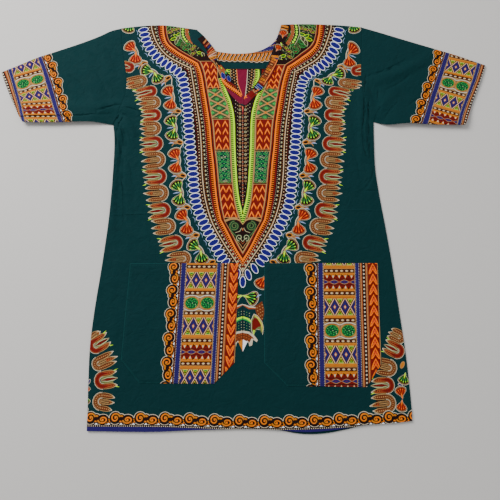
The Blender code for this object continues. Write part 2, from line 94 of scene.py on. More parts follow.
# ---------------------------------------------------------------------------------------------------------------------
# Front panel. One piece of plain-weave cotton, wax-print style: a dark green ground with the yoke's print round the
# neck and a border along the hem. It is cut with A-line sides, sewn to the back at sides and shoulders, and its hem is
# turned up and stitched. It lies on the back panel in soft folds.
# ---------------------------------------------------------------------------------------------------------------------
CLOTH = 0.001
SHOWN_CLOTH = 0.0007
SEAM_GAP = 0.0003
MM = 0.001
INK_COLOURS = {
    "green_ground": "#022c2e",
    "maroon": "#1c0708",
    "crimson": "#70110c",
    "orange": "#f97300",
    "salmon": "#ee7c3a",
    "gold": "#c47216",
    "tan": "#ae8450",
    "rust": "#9c4a24",
    "lime": "#c0f600",
    "leaf_green": "#2d9a42",
    "dark_green": "#0a4426",
    "blue": "#1b146c",
    "cream": "#cebea5",
    "pale_blue": "#8ea3c9",
    "yellow": "#cfc23e",
    "white": "#fafbff",
    "sage": "#b4b286",
    "vermilion": "#cc431a",
    "wine": "#74102f",
    "mint": "#639c54",
    "olive": "#66703f",
    "indigo": "#251a5c",
    # a lighter green for a strip 1 mm wide round each pocket's edge
    "pocket_edge_green": "#0b3f3f",
    "thread": "#0f4644",
    "brown": "#6d3216",
}
INKS = list(INK_COLOURS)


def linear(code):
    channels = [int(code[i : i + 2], 16) / 255 for i in (1, 3, 5)]
    return [c / 12.92 if c <= 0.04045 else ((c + 0.055) / 1.055) ** 2.4 for c in channels]


def cotton(name, code):
    """Printed plain-weave cotton: crossed threads and small unevenness as bump, dull with a weak sheen."""
    material = bpy.data.materials.new("cotton_" + name)
    material.use_nodes = True
    tree = material.node_tree
    shader = tree.nodes["Principled BSDF"]
    shader.inputs["Base Color"].default_value = (*linear(code), 1)
    shader.inputs["Specular IOR Level"].default_value = 0.1
    shader.inputs["Sheen Weight"].default_value = 0.02
    shader.inputs["Sheen Roughness"].default_value = 0.5
    place = tree.nodes.new("ShaderNodeTexCoord")
    weave = []
    for direction in ("X", "Y"):
        threads = tree.nodes.new("ShaderNodeTexWave")
        threads.bands_direction = direction
        threads.inputs["Scale"].default_value = 420
        threads.inputs["Distortion"].default_value = 1.6
        threads.inputs["Detail Scale"].default_value = 3
        tree.links.new(place.outputs["Object"], threads.inputs["Vector"])
        weave.append(threads)
    crossed = tree.nodes.new("ShaderNodeMath")
    crossed.operation = "MULTIPLY"
    tree.links.new(weave[0].outputs["Fac"], crossed.inputs[0])
    tree.links.new(weave[1].outputs["Fac"], crossed.inputs[1])
    uneven = tree.nodes.new("ShaderNodeTexNoise")
    uneven.inputs["Scale"].default_value = 90
    uneven.inputs["Detail"].default_value = 4
    tree.links.new(place.outputs["Object"], uneven.inputs["Vector"])
    fine = tree.nodes.new("ShaderNodeBump")
    fine.inputs["Strength"].default_value = 0.35
    fine.inputs["Distance"].default_value = 0.0002
    tree.links.new(crossed.outputs[0], fine.inputs["Height"])
    coarse = tree.nodes.new("ShaderNodeBump")
    coarse.inputs["Strength"].default_value = 0.3
    coarse.inputs["Distance"].default_value = 0.0008
    tree.links.new(uneven.outputs["Fac"], coarse.inputs["Height"])
    tree.links.new(fine.outputs["Normal"], coarse.inputs["Normal"])
    crinkle = tree.nodes.new("ShaderNodeTexNoise")
    crinkle.inputs["Scale"].default_value = 58
    crinkle.inputs["Detail"].default_value = 3
    crinkle.inputs["Roughness"].default_value = 0.62
    crinkle.inputs["Distortion"].default_value = 0.8
    tree.links.new(place.outputs["Object"], crinkle.inputs["Vector"])
    crinkled = tree.nodes.new("ShaderNodeBump")
    crinkled.inputs["Strength"].default_value = 0.55
    crinkled.inputs["Distance"].default_value = 0.0042
    tree.links.new(crinkle.outputs["Fac"], crinkled.inputs["Height"])
    tree.links.new(coarse.outputs["Normal"], crinkled.inputs["Normal"])
    tree.links.new(crinkled.outputs["Normal"], shader.inputs["Normal"])
    rough = tree.nodes.new("ShaderNodeMapRange")
    rough.inputs["To Min"].default_value = 0.7
    rough.inputs["To Max"].default_value = 0.92
    tree.links.new(uneven.outputs["Fac"], rough.inputs["Value"])
    tree.links.new(rough.outputs["Result"], shader.inputs["Roughness"])
    return material


MATERIALS = {name: cotton(name, code) for name, code in INK_COLOURS.items()}


def smoothstep(value):
    t = np.clip(value, 0.0, 1.0)
    return t * t * (3.0 - 2.0 * t)


def smooth_curve(points, steps=12):
    """Dense points of a curve through the given ones, with tangents from each point's neighbours."""
    p = np.array(points, float)
    spans = np.linalg.norm(np.diff(p, axis=0), axis=1)
    tangents = np.gradient(p, np.concatenate([[0.0], np.cumsum(spans)]), axis=0)
    dense = []
    for i, span in enumerate(spans):
        t = np.linspace(0.0, 1.0, steps, endpoint=False)[:, None]
        dense.append(
            (2 * t**3 - 3 * t**2 + 1) * p[i]
            + (t**3 - 2 * t**2 + t) * span * tangents[i]
            + (3 * t**2 - 2 * t**3) * p[i + 1]
            + (t**3 - t**2) * span * tangents[i + 1]
        )
    return np.vstack(dense + [p[-1:]])


def bent_curve(*stretches):
    """Smooth stretches joined at corners: each starts where the last one ended."""
    curves = [smooth_curve(stretch) for stretch in stretches]
    return np.vstack([curve[:-1] for curve in curves[:-1]] + curves[-1:])


def run_of(curve):
    return np.concatenate([[0.0], np.cumsum(np.linalg.norm(np.diff(curve, axis=0), axis=1))])


def along(curve, fractions):
    """The curve's points at fractions of its length."""
    run = run_of(curve)
    at = np.asarray(fractions, float) * run[-1]
    return np.stack([np.interp(at, run, curve[:, axis]) for axis in (0, 1)], axis=-1)


def directions(curve):
    """Unit tangents of a curve's points."""
    step = np.gradient(curve, axis=0)
    return step / np.maximum(np.linalg.norm(step, axis=1), 1e-9)[:, None]


def inside(polygon, points):
    """Which points lie inside a polygon."""
    answer = np.zeros(len(points), bool)
    a, b = polygon, np.roll(polygon, -1, axis=0)
    rise = np.where(a[:, 1] == b[:, 1], 1e-12, b[:, 1] - a[:, 1])
    lean = (b[:, 0] - a[:, 0]) / rise
    step = max(1, 2_000_000 // len(a))
    for first in range(0, len(points), step):
        x, y = points[first : first + step].T
        crossed = (a[:, 1, None] > y) != (b[:, 1, None] > y)
        at = a[:, 0, None] + (y - a[:, 1, None]) * lean[:, None]
        answer[first : first + step] = (crossed & (x < at)).sum(axis=0) % 2
    return answer


def cut_sheet(outline, motifs, ground, spacing, guides=()):
    """A flat piece as triangles, cut along its motifs' outlines. Each takes the ink of the last motif over it."""
    low, high = outline.min(axis=0), outline.max(axis=0)
    near = [(ink, shape) for ink, shape in motifs if (shape.max(0) > low).all() and (shape.min(0) < high).all()]
    columns = np.arange(low[0] + spacing / 2, high[0], spacing)
    rows = np.arange(low[1] + spacing / 2, high[1], spacing * 0.87)
    x, y = np.meshgrid(columns, rows)
    x[::2] += spacing / 2
    grid = np.column_stack([x.ravel(), y.ravel()])
    grid = grid[inside(outline, grid)]
    points, edges = [], []
    for shape in [outline] + [shape for _, shape in near]:
        start = len(points)
        points += [Vector(p) for p in shape]
        edges += [(start + i, start + (i + 1) % len(shape)) for i in range(len(shape))]
    for guide in guides:
        points += [Vector(p) for p in guide[inside(outline, guide)]]
    points += [Vector(p) for p in grid]
    cut = delaunay_2d_cdt(points, edges, [], 0, 1e-5, False)
    plan = np.array([tuple(v) for v in cut[0]])
    triangles = np.array([(face[0], b, c) for face in cut[2] for b, c in zip(face[1:], face[2:])])
    middles = plan[triangles].mean(axis=1)
    kept = inside(outline, middles)
    triangles, middles = triangles[kept], middles[kept]
    inks = np.full(len(triangles), INKS.index(ground))
    order = np.argsort(middles[:, 0])
    sorted_x = middles[order, 0]
    for ink, shape in near:
        lowest, highest = shape.min(axis=0), shape.max(axis=0)
        first, last = np.searchsorted(sorted_x, (lowest[0], highest[0]))
        some = order[first:last]
        some = some[(middles[some, 1] >= lowest[1]) & (middles[some, 1] <= highest[1])]
        inks[some[inside(shape, middles[some])]] = INKS.index(ink)
    used, numbers = np.unique(triangles, return_inverse=True)
    return plan[used], numbers.reshape(-1, 3), inks


def edge_loop(triangles, plan, start_at):
    """The vertices round a sheet's outside, anticlockwise, from the one nearest a point."""
    directed = np.concatenate([triangles[:, [0, 1]], triangles[:, [1, 2]], triangles[:, [2, 0]]])
    key = directed[:, 0] * len(plan) + directed[:, 1]
    back = directed[:, 1] * len(plan) + directed[:, 0]
    follow = {int(a): int(b) for a, b in directed[~np.isin(key, back)]}
    begin = min(follow, key=lambda i: np.hypot(*(plan[i] - start_at)))
    loop = [begin]
    while follow[loop[-1]] != begin and len(loop) <= len(follow):
        loop.append(follow[loop[-1]])
    return loop


def bridge(low, high, low_at, high_at):
    """Triangles between two chains of vertices that run side by side, for a wall seen with the low one below."""
    faces, i, j = [], 0, 0
    while i < len(low) - 1 or j < len(high) - 1:
        if j == len(high) - 1 or (i < len(low) - 1 and low_at[i + 1] <= high_at[j + 1]):
            faces.append((low[i], low[i + 1], high[j]))
            i += 1
        else:
            faces.append((low[i], high[j + 1], high[j]))
            j += 1
    return faces


def fractions_of(chain, plan):
    run = run_of(plan[chain])
    return run / run[-1]


def slopes(height, plan, step=0.0004):
    """Unit normals of a height over a plan."""
    dx = (height(plan + (step, 0)) - height(plan - (step, 0))) / (2 * step)
    dy = (height(plan + (0, step)) - height(plan - (0, step))) / (2 * step)
    normals = np.column_stack([-dx, -dy, np.ones(len(plan))])
    return normals / np.linalg.norm(normals, axis=1)[:, None]


def measure(curve, step=0.001):
    """A function that gives the distance from points to a curve."""
    fine = along(curve, np.linspace(0, 1, max(3, int(run_of(curve)[-1] / step))))
    tree = KDTree(len(fine))
    for i, (x, y) in enumerate(fine):
        tree.insert((x, y, 0), i)
    tree.balance()

    def away(points):
        nearest = np.array([tree.find((x, y, 0))[1] for x, y in points])
        best = np.full(len(points), np.inf)
        for first in (np.maximum(nearest - 1, 0), np.minimum(nearest, len(fine) - 2)):
            a, ab = fine[first], fine[first + 1] - fine[first]
            t = np.clip(((points - a) * ab).sum(axis=1) / (ab**2).sum(axis=1), 0, 1)
            best = np.minimum(best, np.hypot(*(points - a - t[:, None] * ab).T))
        return best

    return away


def edge_guides(curve, insets, step=0.002):
    """Points beside a curve, to its left, dense enough to shape a rolled edge and a line of stitches."""
    count = max(2, int(run_of(curve)[-1] / step))
    fine = along(curve, np.linspace(0, 1, count))
    rows = []
    for inset in insets:
        moved = beside(fine, inset)
        rows.append(moved[measure(curve)(moved) > 0.93 * abs(inset)])
    return rows


def finish_piece(name, points, faces, inks, normals):
    """A mesh from points and triangles. Faces with a row of normals keep them; the others are flat."""
    mesh = bpy.data.meshes.new(name)
    mesh.from_pydata((np.asarray(points) + LAY).tolist(), [], np.asarray(faces).tolist())
    shown = sorted(set(int(i) for i in inks))
    for ink in shown:
        mesh.materials.append(MATERIALS[INKS[ink]])
    place = {ink: i for i, ink in enumerate(shown)}
    mesh.polygons.foreach_set("material_index", [place[int(i)] for i in inks])
    mesh.shade_smooth()
    mesh.normals_split_custom_set(np.asarray(normals).reshape(-1, 3).tolist())
    piece = bpy.data.objects.new(name, mesh)
    bpy.context.scene.collection.objects.link(piece)
    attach(piece, "root")
    return piece


def flat_normals(points, faces):
    a, b, c = (points[faces[:, k]] for k in range(3))
    normal = np.cross(b - a, c - a)
    return normal / np.maximum(np.linalg.norm(normal, axis=1), 1e-15)[:, None]


def thin_shell(
    name, outline, over, under, motifs, back_motifs, ground, back_ground, spacing=0.006, back_spacing=0.02,
    guides=(),
):
    """A piece of cloth over its plan: a printed upper face, a lower face and the rim between them."""
    top, top_faces, top_inks = cut_sheet(outline, motifs, ground, spacing, guides)
    top_loop = edge_loop(top_faces, top, outline[0])
    low, low_faces, low_inks = cut_sheet(top[top_loop], back_motifs, back_ground, back_spacing)
    low_loop = edge_loop(low_faces, low, top[top_loop[0]])
    count = len(top)
    points = np.vstack([np.column_stack([top, over(top)]), np.column_stack([low, under(low)])])
    low_chain = low_loop + low_loop[:1]
    top_chain = top_loop + top_loop[:1]
    rim = bridge(
        [i + count for i in low_chain], top_chain, fractions_of(low_chain, low), fractions_of(top_chain, top)
    )
    rim = np.array(rim)
    faces = np.vstack([top_faces, low_faces[:, ::-1] + count, rim])
    inks = np.concatenate([top_inks, low_inks, np.full(len(rim), INKS.index(back_ground))])
    up, down = slopes(over, top), -slopes(under, low)
    normals = np.concatenate([
        up[top_faces], down[low_faces[:, ::-1]], np.repeat(flat_normals(points, rim), 3, 0).reshape(-1, 3, 3),
    ])
    return finish_piece(name, points, faces, inks, normals)


def outline_of(node, corner=math.radians(28)):
    """A packed panel's outline in plan, smooth between its corners."""
    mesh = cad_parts[node].data
    where = np.array([tuple(v.co) for v in mesh.vertices]) - LAY
    names = {}
    number = [names.setdefault(tuple(np.round(p, 6)), i) for i, p in enumerate(where)]
    directed = set()
    for face in mesh.polygons:
        if face.normal.z > 0.5:
            ring = [number[i] for i in face.vertices]
            directed |= set(zip(ring, ring[1:] + ring[:1]))
    follow = {a: b for a, b in directed if (b, a) not in directed}
    begin = min(follow, key=lambda i: where[i, 0] + where[i, 1])
    loop = [begin]
    while follow[loop[-1]] != begin:
        loop.append(follow[loop[-1]])
    points = where[loop][:, :2]
    step = np.diff(np.vstack([points[-1:], points, points[:1]]), axis=0)
    turn = np.abs(np.angle(np.exp(1j * np.diff(np.arctan2(step[:, 1], step[:, 0])))))
    corners = [i for i in range(len(points)) if turn[i] > corner]
    points = np.roll(points, -corners[0], axis=0)
    corners = [i - corners[0] for i in corners] + [len(points)]
    points = np.vstack([points, points[:1]])
    return np.vstack([smooth_curve(points[a : b + 1], 5)[:-1] for a, b in zip(corners, corners[1:])])


# How the front lies: its larger folds, which its solid has too, and the finer creases of worn cotton
HEM_DEPTH = 0.018
HEM_PLY = 0.001
HEM_STEP = 0.0025
HEM_EASE = 0.0095
FACING_Y = 0.317
FACING_SIDES = (-0.09, 0.076)
NECK_LIFT = 0.0018
NECK_LIFT_REACH = 0.06
FRONT_HEM = smooth_curve(
    (
        (-0.292, -0.42),
        (-0.155, -0.421),
        (-0.08, -0.418),
        (0.072, -0.418),
        (0.107, -0.4215),
        (0.179, -0.417),
        (0.222, -0.41),
        (0.29, -0.405),
        (0.318, -0.402),
    )
)
RIDGES = (  # x and y of one end, x and y of the other, bow to the left of that line, half width, height
    (-0.257, 0.178, -0.262, -0.03, -0.005, 0.013, 0.005),
    (-0.262, 0.215, -0.228, 0.15, 0.006, 0.019, 0.0044),
    (-0.29, 0.232, -0.222, 0.222, 0.004, 0.02, 0.0036),
    (-0.315, 0.372, -0.282, 0.3, 0.004, 0.016, 0.0016),
    (-0.246, 0.15, -0.236, 0.0, -0.003, 0.02, 0.0024),
    (-0.42, 0.222, -0.3, 0.226, 0.002, 0.018, 0.0024),
    (0.245, 0.262, 0.249, 0.12, 0.002, 0.018, 0.0044),
    (0.268, 0.215, 0.243, 0.292, -0.003, 0.016, 0.0034),
    (0.282, 0.212, 0.318, 0.262, 0.004, 0.016, 0.0024),
    (0.276, 0.29, 0.4, 0.348, -0.008, 0.017, 0.0034),
    (0.262, 0.13, 0.258, 0.04, 0.002, 0.014, 0.0016),
    (-0.258, -0.012, -0.18, -0.08, 0.004, 0.018, 0.0014),
    (0.262, 0.048, 0.2, 0.07, 0.004, 0.015, 0.0012),
)
CREASES = (  # the same columns; a trough has a height below nothing
    (-0.256, 0.184, -0.246, 0.134, 0.005, 0.004, -0.0052),
    (-0.247, 0.14, -0.246, 0.06, -0.003, 0.0037, -0.0042),
    (-0.246, 0.064, -0.24, -0.016, 0.002, 0.004, -0.0024),
    (-0.26, 0.21, -0.272, 0.184, -0.002, 0.003, -0.0042),
    (-0.252, 0.204, -0.263, 0.176, -0.001, 0.0028, -0.0034),
    (-0.268, 0.176, -0.262, 0.14, 0.002, 0.0026, -0.0026),
    (-0.262, 0.166, -0.256, 0.128, 0.001, 0.0025, 0.001),
    (-0.253, 0.214, -0.224, 0.196, 0.002, 0.003, -0.0026),
    (-0.25, 0.228, -0.212, 0.216, 0.002, 0.0034, -0.002),
    (-0.243, 0.18, -0.232, 0.15, 0.001, 0.0027, -0.0011),
    (-0.306, 0.22, -0.256, 0.234, 0.002, 0.0034, -0.0026),
    (-0.262, 0.11, -0.266, 0.052, 0.001, 0.0027, -0.001),
    (-0.236, 0.11, -0.226, 0.064, 0.002, 0.0031, -0.0009),
    (-0.269, -0.004, -0.166, 0.0, 0.001, 0.0025, 0.0008),
    (0.192, 0.006, 0.276, 0.005, 0.001, 0.0025, 0.0008),
    (0.24, 0.047, 0.276, 0.046, 0.001, 0.0028, -0.0013),
    (0.254, 0.246, 0.25, 0.186, 0.002, 0.0038, -0.004),
    (0.25, 0.19, 0.254, 0.124, -0.003, 0.004, -0.0034),
    (0.268, 0.196, 0.264, 0.24, 0.003, 0.003, -0.0036),
    (0.274, 0.194, 0.287, 0.226, 0.002, 0.0028, -0.003),
    (0.284, 0.24, 0.286, 0.27, 0.001, 0.0027, -0.0013),
    (0.263, 0.192, 0.257, 0.15, 0.003, 0.0034, -0.0018),
    (0.272, 0.178, 0.262, 0.118, -0.004, 0.004, -0.0014),
    (0.296, 0.204, 0.322, 0.236, 0.002, 0.0033, -0.0015),
    (0.24, 0.232, 0.226, 0.27, -0.002, 0.0037, -0.0015),
    (0.256, 0.262, 0.262, 0.306, 0.001, 0.003, -0.0013),
    (0.262, 0.299, 0.345, 0.336, -0.004, 0.0044, -0.0018),
    (0.3, 0.268, 0.352, 0.3, -0.003, 0.0044, -0.0011),
    (0.232, 0.12, 0.24, 0.066, 0.001, 0.003, -0.001),
    (0.268, 0.096, 0.246, 0.05, 0.005, 0.0044, -0.0012),
    (0.344, 0.228, 0.372, 0.25, 0.002, 0.003, -0.001),
    (-0.372, 0.3, -0.33, 0.262, 0.003, 0.0052, -0.0009),
    (-0.33, 0.33, -0.286, 0.262, 0.003, 0.0052, -0.0009),
    (-0.19, -0.14, -0.1, -0.2, 0.006, 0.013, 0.0006),
    (-0.06, -0.355, 0.03, -0.385, 0.004, 0.012, 0.0007),
    (0.07, -0.36, 0.18, -0.372, -0.004, 0.012, 0.0006),
    (0.11, -0.13, 0.06, -0.29, 0.006, 0.014, 0.0007),
    (-0.262, -0.13, -0.25, -0.3, 0.006, 0.015, 0.0008),
    (0.288, -0.12, 0.276, -0.26, 0.006, 0.015, 0.0008),
    (-0.464, 0.2056, -0.336, 0.2074, 0.0, 0.003, -0.0047),
    (-0.346, 0.2076, -0.28, 0.214, -0.001, 0.003, -0.0025),
    (-0.404, 0.212, -0.356, 0.215, 0.001, 0.0027, -0.0013),
    (-0.2, 0.3, -0.222, 0.2, 0.004, 0.012, 0.0008),
    (0.205, 0.31, 0.222, 0.18, -0.004, 0.012, 0.0008),
)
RIPPLES = (  # direction in degrees, wavelength, phase, height
    (12, 0.067, 0.4, 0.00013),
    (74, 0.053, 1.9, 0.00012),
    (131, 0.083, 2.7, 0.00016),
    (163, 0.041, 0.9, 0.00008),
    (98, 0.131, 4.1, 0.00022),
    (37, 0.113, 5.2, 0.00018),
)


def folds(points, table):
    """How far a table of folds lifts the cloth at points."""
    height = np.zeros(points.shape[:-1])
    for x0, y0, x1, y1, bow, half_width, rise in table:
        a, b = np.array((x0, y0)), np.array((x1, y1))
        length = np.hypot(*(b - a))
        onward = (b - a) / length
        sideways = np.array([-onward[1], onward[0]])
        at = (points - a) @ onward / length
        held = np.clip(at, 0.0, 1.0)
        off = (points - a) @ sideways - bow * 4 * held * (1 - held)
        away = np.hypot(off, (at - held) * length)
        profile = np.clip(1 - (away / half_width) ** 2, 0.0, 1.0) ** 2
        height += rise * profile * (0.25 + 0.75 * np.sin(math.pi * np.clip(0.08 + 0.84 * held, 0, 1)))
    return height


def crease_guides(table):
    """Points along each narrow crease and beside it, so that the mesh can follow it."""
    guides = []
    for x0, y0, x1, y1, bow, half_width, _ in table:
        if half_width < 0.008:
            a, b = np.array((x0, y0)), np.array((x1, y1))
            sideways = np.array([y0 - y1, x1 - x0]) / np.hypot(*(b - a))
            t = np.linspace(0, 1, max(4, int(np.hypot(*(b - a)) / 0.004)))[:, None]
            middle = a + (b - a) * t + sideways * bow * 4 * t * (1 - t)
            guides += [middle + sideways * half_width * k for k in (-1.0, -0.6, -0.3, 0, 0.3, 0.6, 1.0)]
    return guides


def ripple(points):
    """The slight waves that no cloth lies without."""
    height = np.zeros(points.shape[:-1])
    for heading, wavelength, phase, rise in RIPPLES:
        x = math.cos(math.radians(heading)) * points[..., 0] + math.sin(math.radians(heading)) * points[..., 1]
        height += rise * np.sin(2 * math.pi * x / wavelength + phase)
    return height


def turned_hem(points, hem, depth, step):
    up = points[..., 1] - np.interp(points[..., 0], hem[:, 0], hem[:, 1])
    return HEM_PLY * (1 - smoothstep((up - depth) / step))


def neck_lift(points):
    x, y = points[..., 0], points[..., 1]
    beyond = np.maximum.reduce([FACING_SIDES[0] - x, x - FACING_SIDES[1], FACING_Y - y, np.zeros_like(x)])
    return NECK_LIFT * (1 - smoothstep(beyond / NECK_LIFT_REACH))


def rolled(away, depth, reach):
    """How far a folded or seamed edge rolls down."""
    return -depth * (1 - np.sqrt(1 - (1 - np.clip(away / reach, 0, 1)) ** 2))


def stitched(away, inset, points, depth=0.00028):
    """The groove that a line of stitches pulls in, and the cloth puckered beside it."""
    pucker = 0.5 + 0.5 * np.sin(points[
        ..., 0,
    ] * 610 + 1.3 * np.sin(points[..., 1] * 95)) * np.sin(points[..., 1] * 570 + 1.7 * np.sin(points[..., 0] * 83))
    groove = np.exp(-(((away - inset) / 0.0011) ** 2))
    beside_it = np.exp(-(((away - inset - 0.0038) / 0.0026) ** 2))
    return -depth * groove + (0.00012 + 0.00028 * pucker) * beside_it


def seam_line(loop, inset, kept=None):
    """A line inside a closed outline, at a distance from it, less what isn't kept."""
    fine = along(loop, np.linspace(0, 1, int(run_of(loop)[-1] / 0.0015)))[:-1]
    moved = beside(np.vstack([fine[-1:], fine, fine[:1]]), inset)[1:-1]
    use = measure(loop)(moved) > 0.97 * inset
    if kept is not None:
        use &= kept(moved)
    gone = np.flatnonzero(~use)
    if len(gone):
        gaps = np.diff(np.append(gone, gone[0] + len(use)))
        first = gone[int(np.argmax(gaps))] + 1
        moved, use = np.roll(moved, -first, axis=0), np.roll(use, -first)
    return moved[use]


def stitches(name, lines, over, pitch=0.003, length=0.0023, thick=0.00044):
    """Topstitching: short round stitches along each line, bedded in the cloth at both ends."""
    angle = np.arange(6) / 6 * 2 * math.pi
    points, round_normals, ends = [], [], []
    for line in lines:
        count = int(run_of(line)[-1] / pitch)
        spots = along(line, (np.arange(count) + 0.5) / count)
        ways = directions(spots)
        sides = np.column_stack([-ways[:, 1], ways[:, 0]])
        rings = []
        for at, girth, rise in ((-0.5, 0.3, -0.3), (-0.34, 0.92, 0.22), (0.34, 0.92, 0.22), (0.5, 0.3, -0.3)):
            middle = spots + ways * at * length
            level = over(middle) + rise * thick
            flat = middle[:, None] + sides[:, None] * np.cos(angle)[None, :, None] * girth * thick / 2
            rings.append(np.dstack([flat, level[:, None] + np.sin(angle) * girth * thick / 2]))
        points.append(np.stack(rings, axis=1).reshape(-1, 3))
        turned = np.dstack([sides[:, None] * np.cos(angle)[None, :, None], np.tile(np.sin(angle), (count, 1))])
        round_normals.append(np.repeat(turned[:, None], 4, axis=1).reshape(-1, 3))
        ends.append(np.column_stack([ways, np.zeros(count)]))
    points, round_normals, ends = np.vstack(points), np.vstack(round_normals), np.vstack(ends)
    one = [(6 * s + k, 6 * s + (k + 1) % 6, 6 * s + (k + 1) % 6 + 6) for s in range(3) for k in range(6)]
    one += [(6 * s + k, 6 * s + (k + 1) % 6 + 6, 6 * s + k + 6) for s in range(3) for k in range(6)]
    caps = [(0, k + 1, k) for k in range(1, 5)] + [(18, 18 + k, 19 + k) for k in range(1, 5)]
    starts = np.arange(len(ends))[:, None, None] * 24
    body = (np.array(one)[None] + starts).reshape(-1, 3)
    closed = (np.array(caps)[None] + starts).reshape(-1, 3)
    cap_normals = np.repeat(np.concatenate([-ends[:, None], ends[:, None]], axis=1), 4, axis=1).reshape(-1, 1, 3)
    normals = np.concatenate([round_normals[body], np.repeat(cap_normals, 3, axis=1)])
    faces = np.vstack([body, closed])
    return finish_piece(name, points, faces, np.full(len(faces), INKS.index("thread")), normals)


front_outline = outline_of("front_panel")
FRONT_EDGE = np.vstack([front_outline, front_outline[:1]])
front_away = measure(FRONT_EDGE)
HEM_STITCHES = smooth_curve(
    [
        (x, np.interp(x, FRONT_HEM[:, 0], FRONT_HEM[:, 1]) + HEM_DEPTH - 0.0015)
        for x in np.linspace(-0.322, 0.327, 14)
    ]
)


def kept_above(height, lowest, softness=0.0005):
    """Heights held above another layer's, with a soft turn where they meet it."""
    spare = height - lowest
    return lowest + (spare + np.sqrt(spare**2 + softness**2)) / 2


def front_over(points):
    resting = CLOTH + SEAM_GAP + turned_hem(points, FRONT_HEM, HEM_DEPTH + HEM_STEP, HEM_EASE)
    hem = turned_hem(points, FRONT_HEM, HEM_DEPTH, HEM_STEP)
    away = front_away(points)
    waves = ripple(points) * (0.35 + 0.65 * np.clip(away / 0.03, 0, 1))
    up = points[:, 1] - np.interp(points[:, 0], FRONT_HEM[:, 0], FRONT_HEM[:, 1])
    seams = rolled(away, 0.0006, 0.0024) + stitched(up, HEM_DEPTH - 0.0015, points, 0.0003)
    lying = resting + hem + CLOTH + folds(points, RIDGES + CREASES) + neck_lift(points) + waves + seams
    return kept_above(lying, resting + SHOWN_CLOTH - 0.0001)


def front_under(points):
    return front_over(points) - SHOWN_CLOTH


# The print's shapes, in millimetres, each with its own +x forward
def oval(length, width, sides=12, at=(0, 0)):
    angle = np.arange(sides) / sides * 2 * math.pi
    return np.column_stack([np.cos(angle) * length / 2, np.sin(angle) * width / 2]) + at


def bar(length, width, at=(0, 0)):
    return np.array([(-0.5, -0.5), (0.5, -0.5), (0.5, 0.5), (-0.5, 0.5)]) * (length, width) + at


def diamond(length, width):
    return np.array([(-0.5, 0), (0, -0.5), (0.5, 0), (0, 0.5)]) * (length, width)


def vee(length, width, thick, at=(0, 0)):
    """A chevron that points forward."""
    h = width / 2
    return np.array([(0, -h), (length - thick, 0), (0, h), (thick, h), (length, 0), (thick, -h)]) + at


def ribbon(path, widths):
    """A stroke along a path, with a width at each point."""
    path = np.asarray(path, float)
    way = directions(path)
    side = np.column_stack([-way[:, 1], way[:, 0]]) * np.asarray(widths, float)[:, None] / 2
    return np.vstack([path + side, (path - side)[::-1]])


def place(layers, at, heading):
    """Layers of ink set down at a point and turned to a heading."""
    c, s = np.asarray(heading, float) / np.hypot(*heading)
    turn = np.array([[c, s], [-s, c]])
    return [(ink, shape @ turn + at) for ink, shape in layers]


def row(curve, pitch, layers, offset=0.0, start=0.5):
    """Layers repeated along a curve, offset to its left."""
    length = run_of(curve)[-1]
    count = max(1, round(length / pitch))
    way = directions(curve)
    fractions = (np.arange(count) + start) / count
    fractions = fractions[fractions <= 1]
    spots = along(curve, fractions)
    run = run_of(curve) / length
    headings = np.stack([np.interp(fractions, run, way[:, axis]) for axis in (0, 1)], axis=-1)
    drawn = []
    for spot, heading in zip(spots, headings):
        heading = heading / np.hypot(*heading)
        spot = spot + offset * np.array([-heading[1], heading[0]])
        drawn += place(layers, spot, heading)
    return drawn


def beside(curve, offset):
    way = directions(curve)
    return curve + offset * np.column_stack([-way[:, 1], way[:, 0]])


def strip(curve, inner, outer):
    """A band along a curve, between two offsets to its left."""
    return np.vstack([beside(curve, inner), beside(curve, outer)[::-1]])


def between(first, second):
    return np.vstack([first, second[::-1]])


def span(curve, high, low):
    """The part of a falling curve between two levels."""
    levels = np.linspace(high, low, 9)
    order = np.argsort(curve[:, 1], kind="stable")
    return np.column_stack([np.interp(levels, curve[order, 1], curve[order, 0]), levels])


def past_middle(curve):
    """A guide line that runs on across the middle, where it meets its mirror image."""
    way = curve[-1] - curve[-2]
    return np.vstack([curve, curve[-1] + way / np.hypot(*way) * 14])


# The yoke's guide lines: distance out from the middle of the front and height, from the shoulder down to the point
ROPE = bent_curve(
    ((175, 424), (174, 412), (172, 396), (165, 376), (147, 359), (119, 340), (98, 327)),
    ((98, 327), (92, 310), (83, 263), (78, 234), (71, 188), (67, 143), (62, 102), (58, 59), (52, 13), (46, -14)),
    ((46, -14), (30, -45), (17, -71), (0, -99)),
)
ROPE = past_middle(ROPE)
TAN_LINE = bent_curve(
    ((198, 424), (197, 412), (194, 401), (184, 376), (165, 351), (137, 332), (111, 318)),
    ((111, 318), (97, 234), (90, 188), (86, 143), (83, 83), (75, 25), (61, -20), (39, -60), (11, -102), (0, -119)),
)
TAN_LINE = past_middle(TAN_LINE)
OVALS = smooth_curve(
    (
        (216, 414),
        (207, 381),
        (196, 360),
        (183, 344),
        (165, 329),
        (144, 315),
        (131, 303),
        (124, 276),
        (117, 236),
        (113, 190),
        (109, 145),
        (103, 97),
        (99, 51),
        (93, 15),
        (82, -12),
        (67, -43),
        (50, -75),
        (36, -99),
        (31, -105),
    )
)
FANS = smooth_curve(
    (
        (246, 405),
        (240, 372),
        (226, 340),
        (200, 314),
        (172, 290),
        (156, 262),
        (150, 225),
        (147, 190),
        (143, 150),
        (140, 110),
        (137, 70),
        (131, 30),
        (122, -8),
        (108, -45),
        (88, -82),
        (62, -116),
    )
)
FAN_KNOTS = ((229, 357), (189, 310), (148, 252), (141, 184), (132, 112), (125, 44), (111, -16), (84, -75))
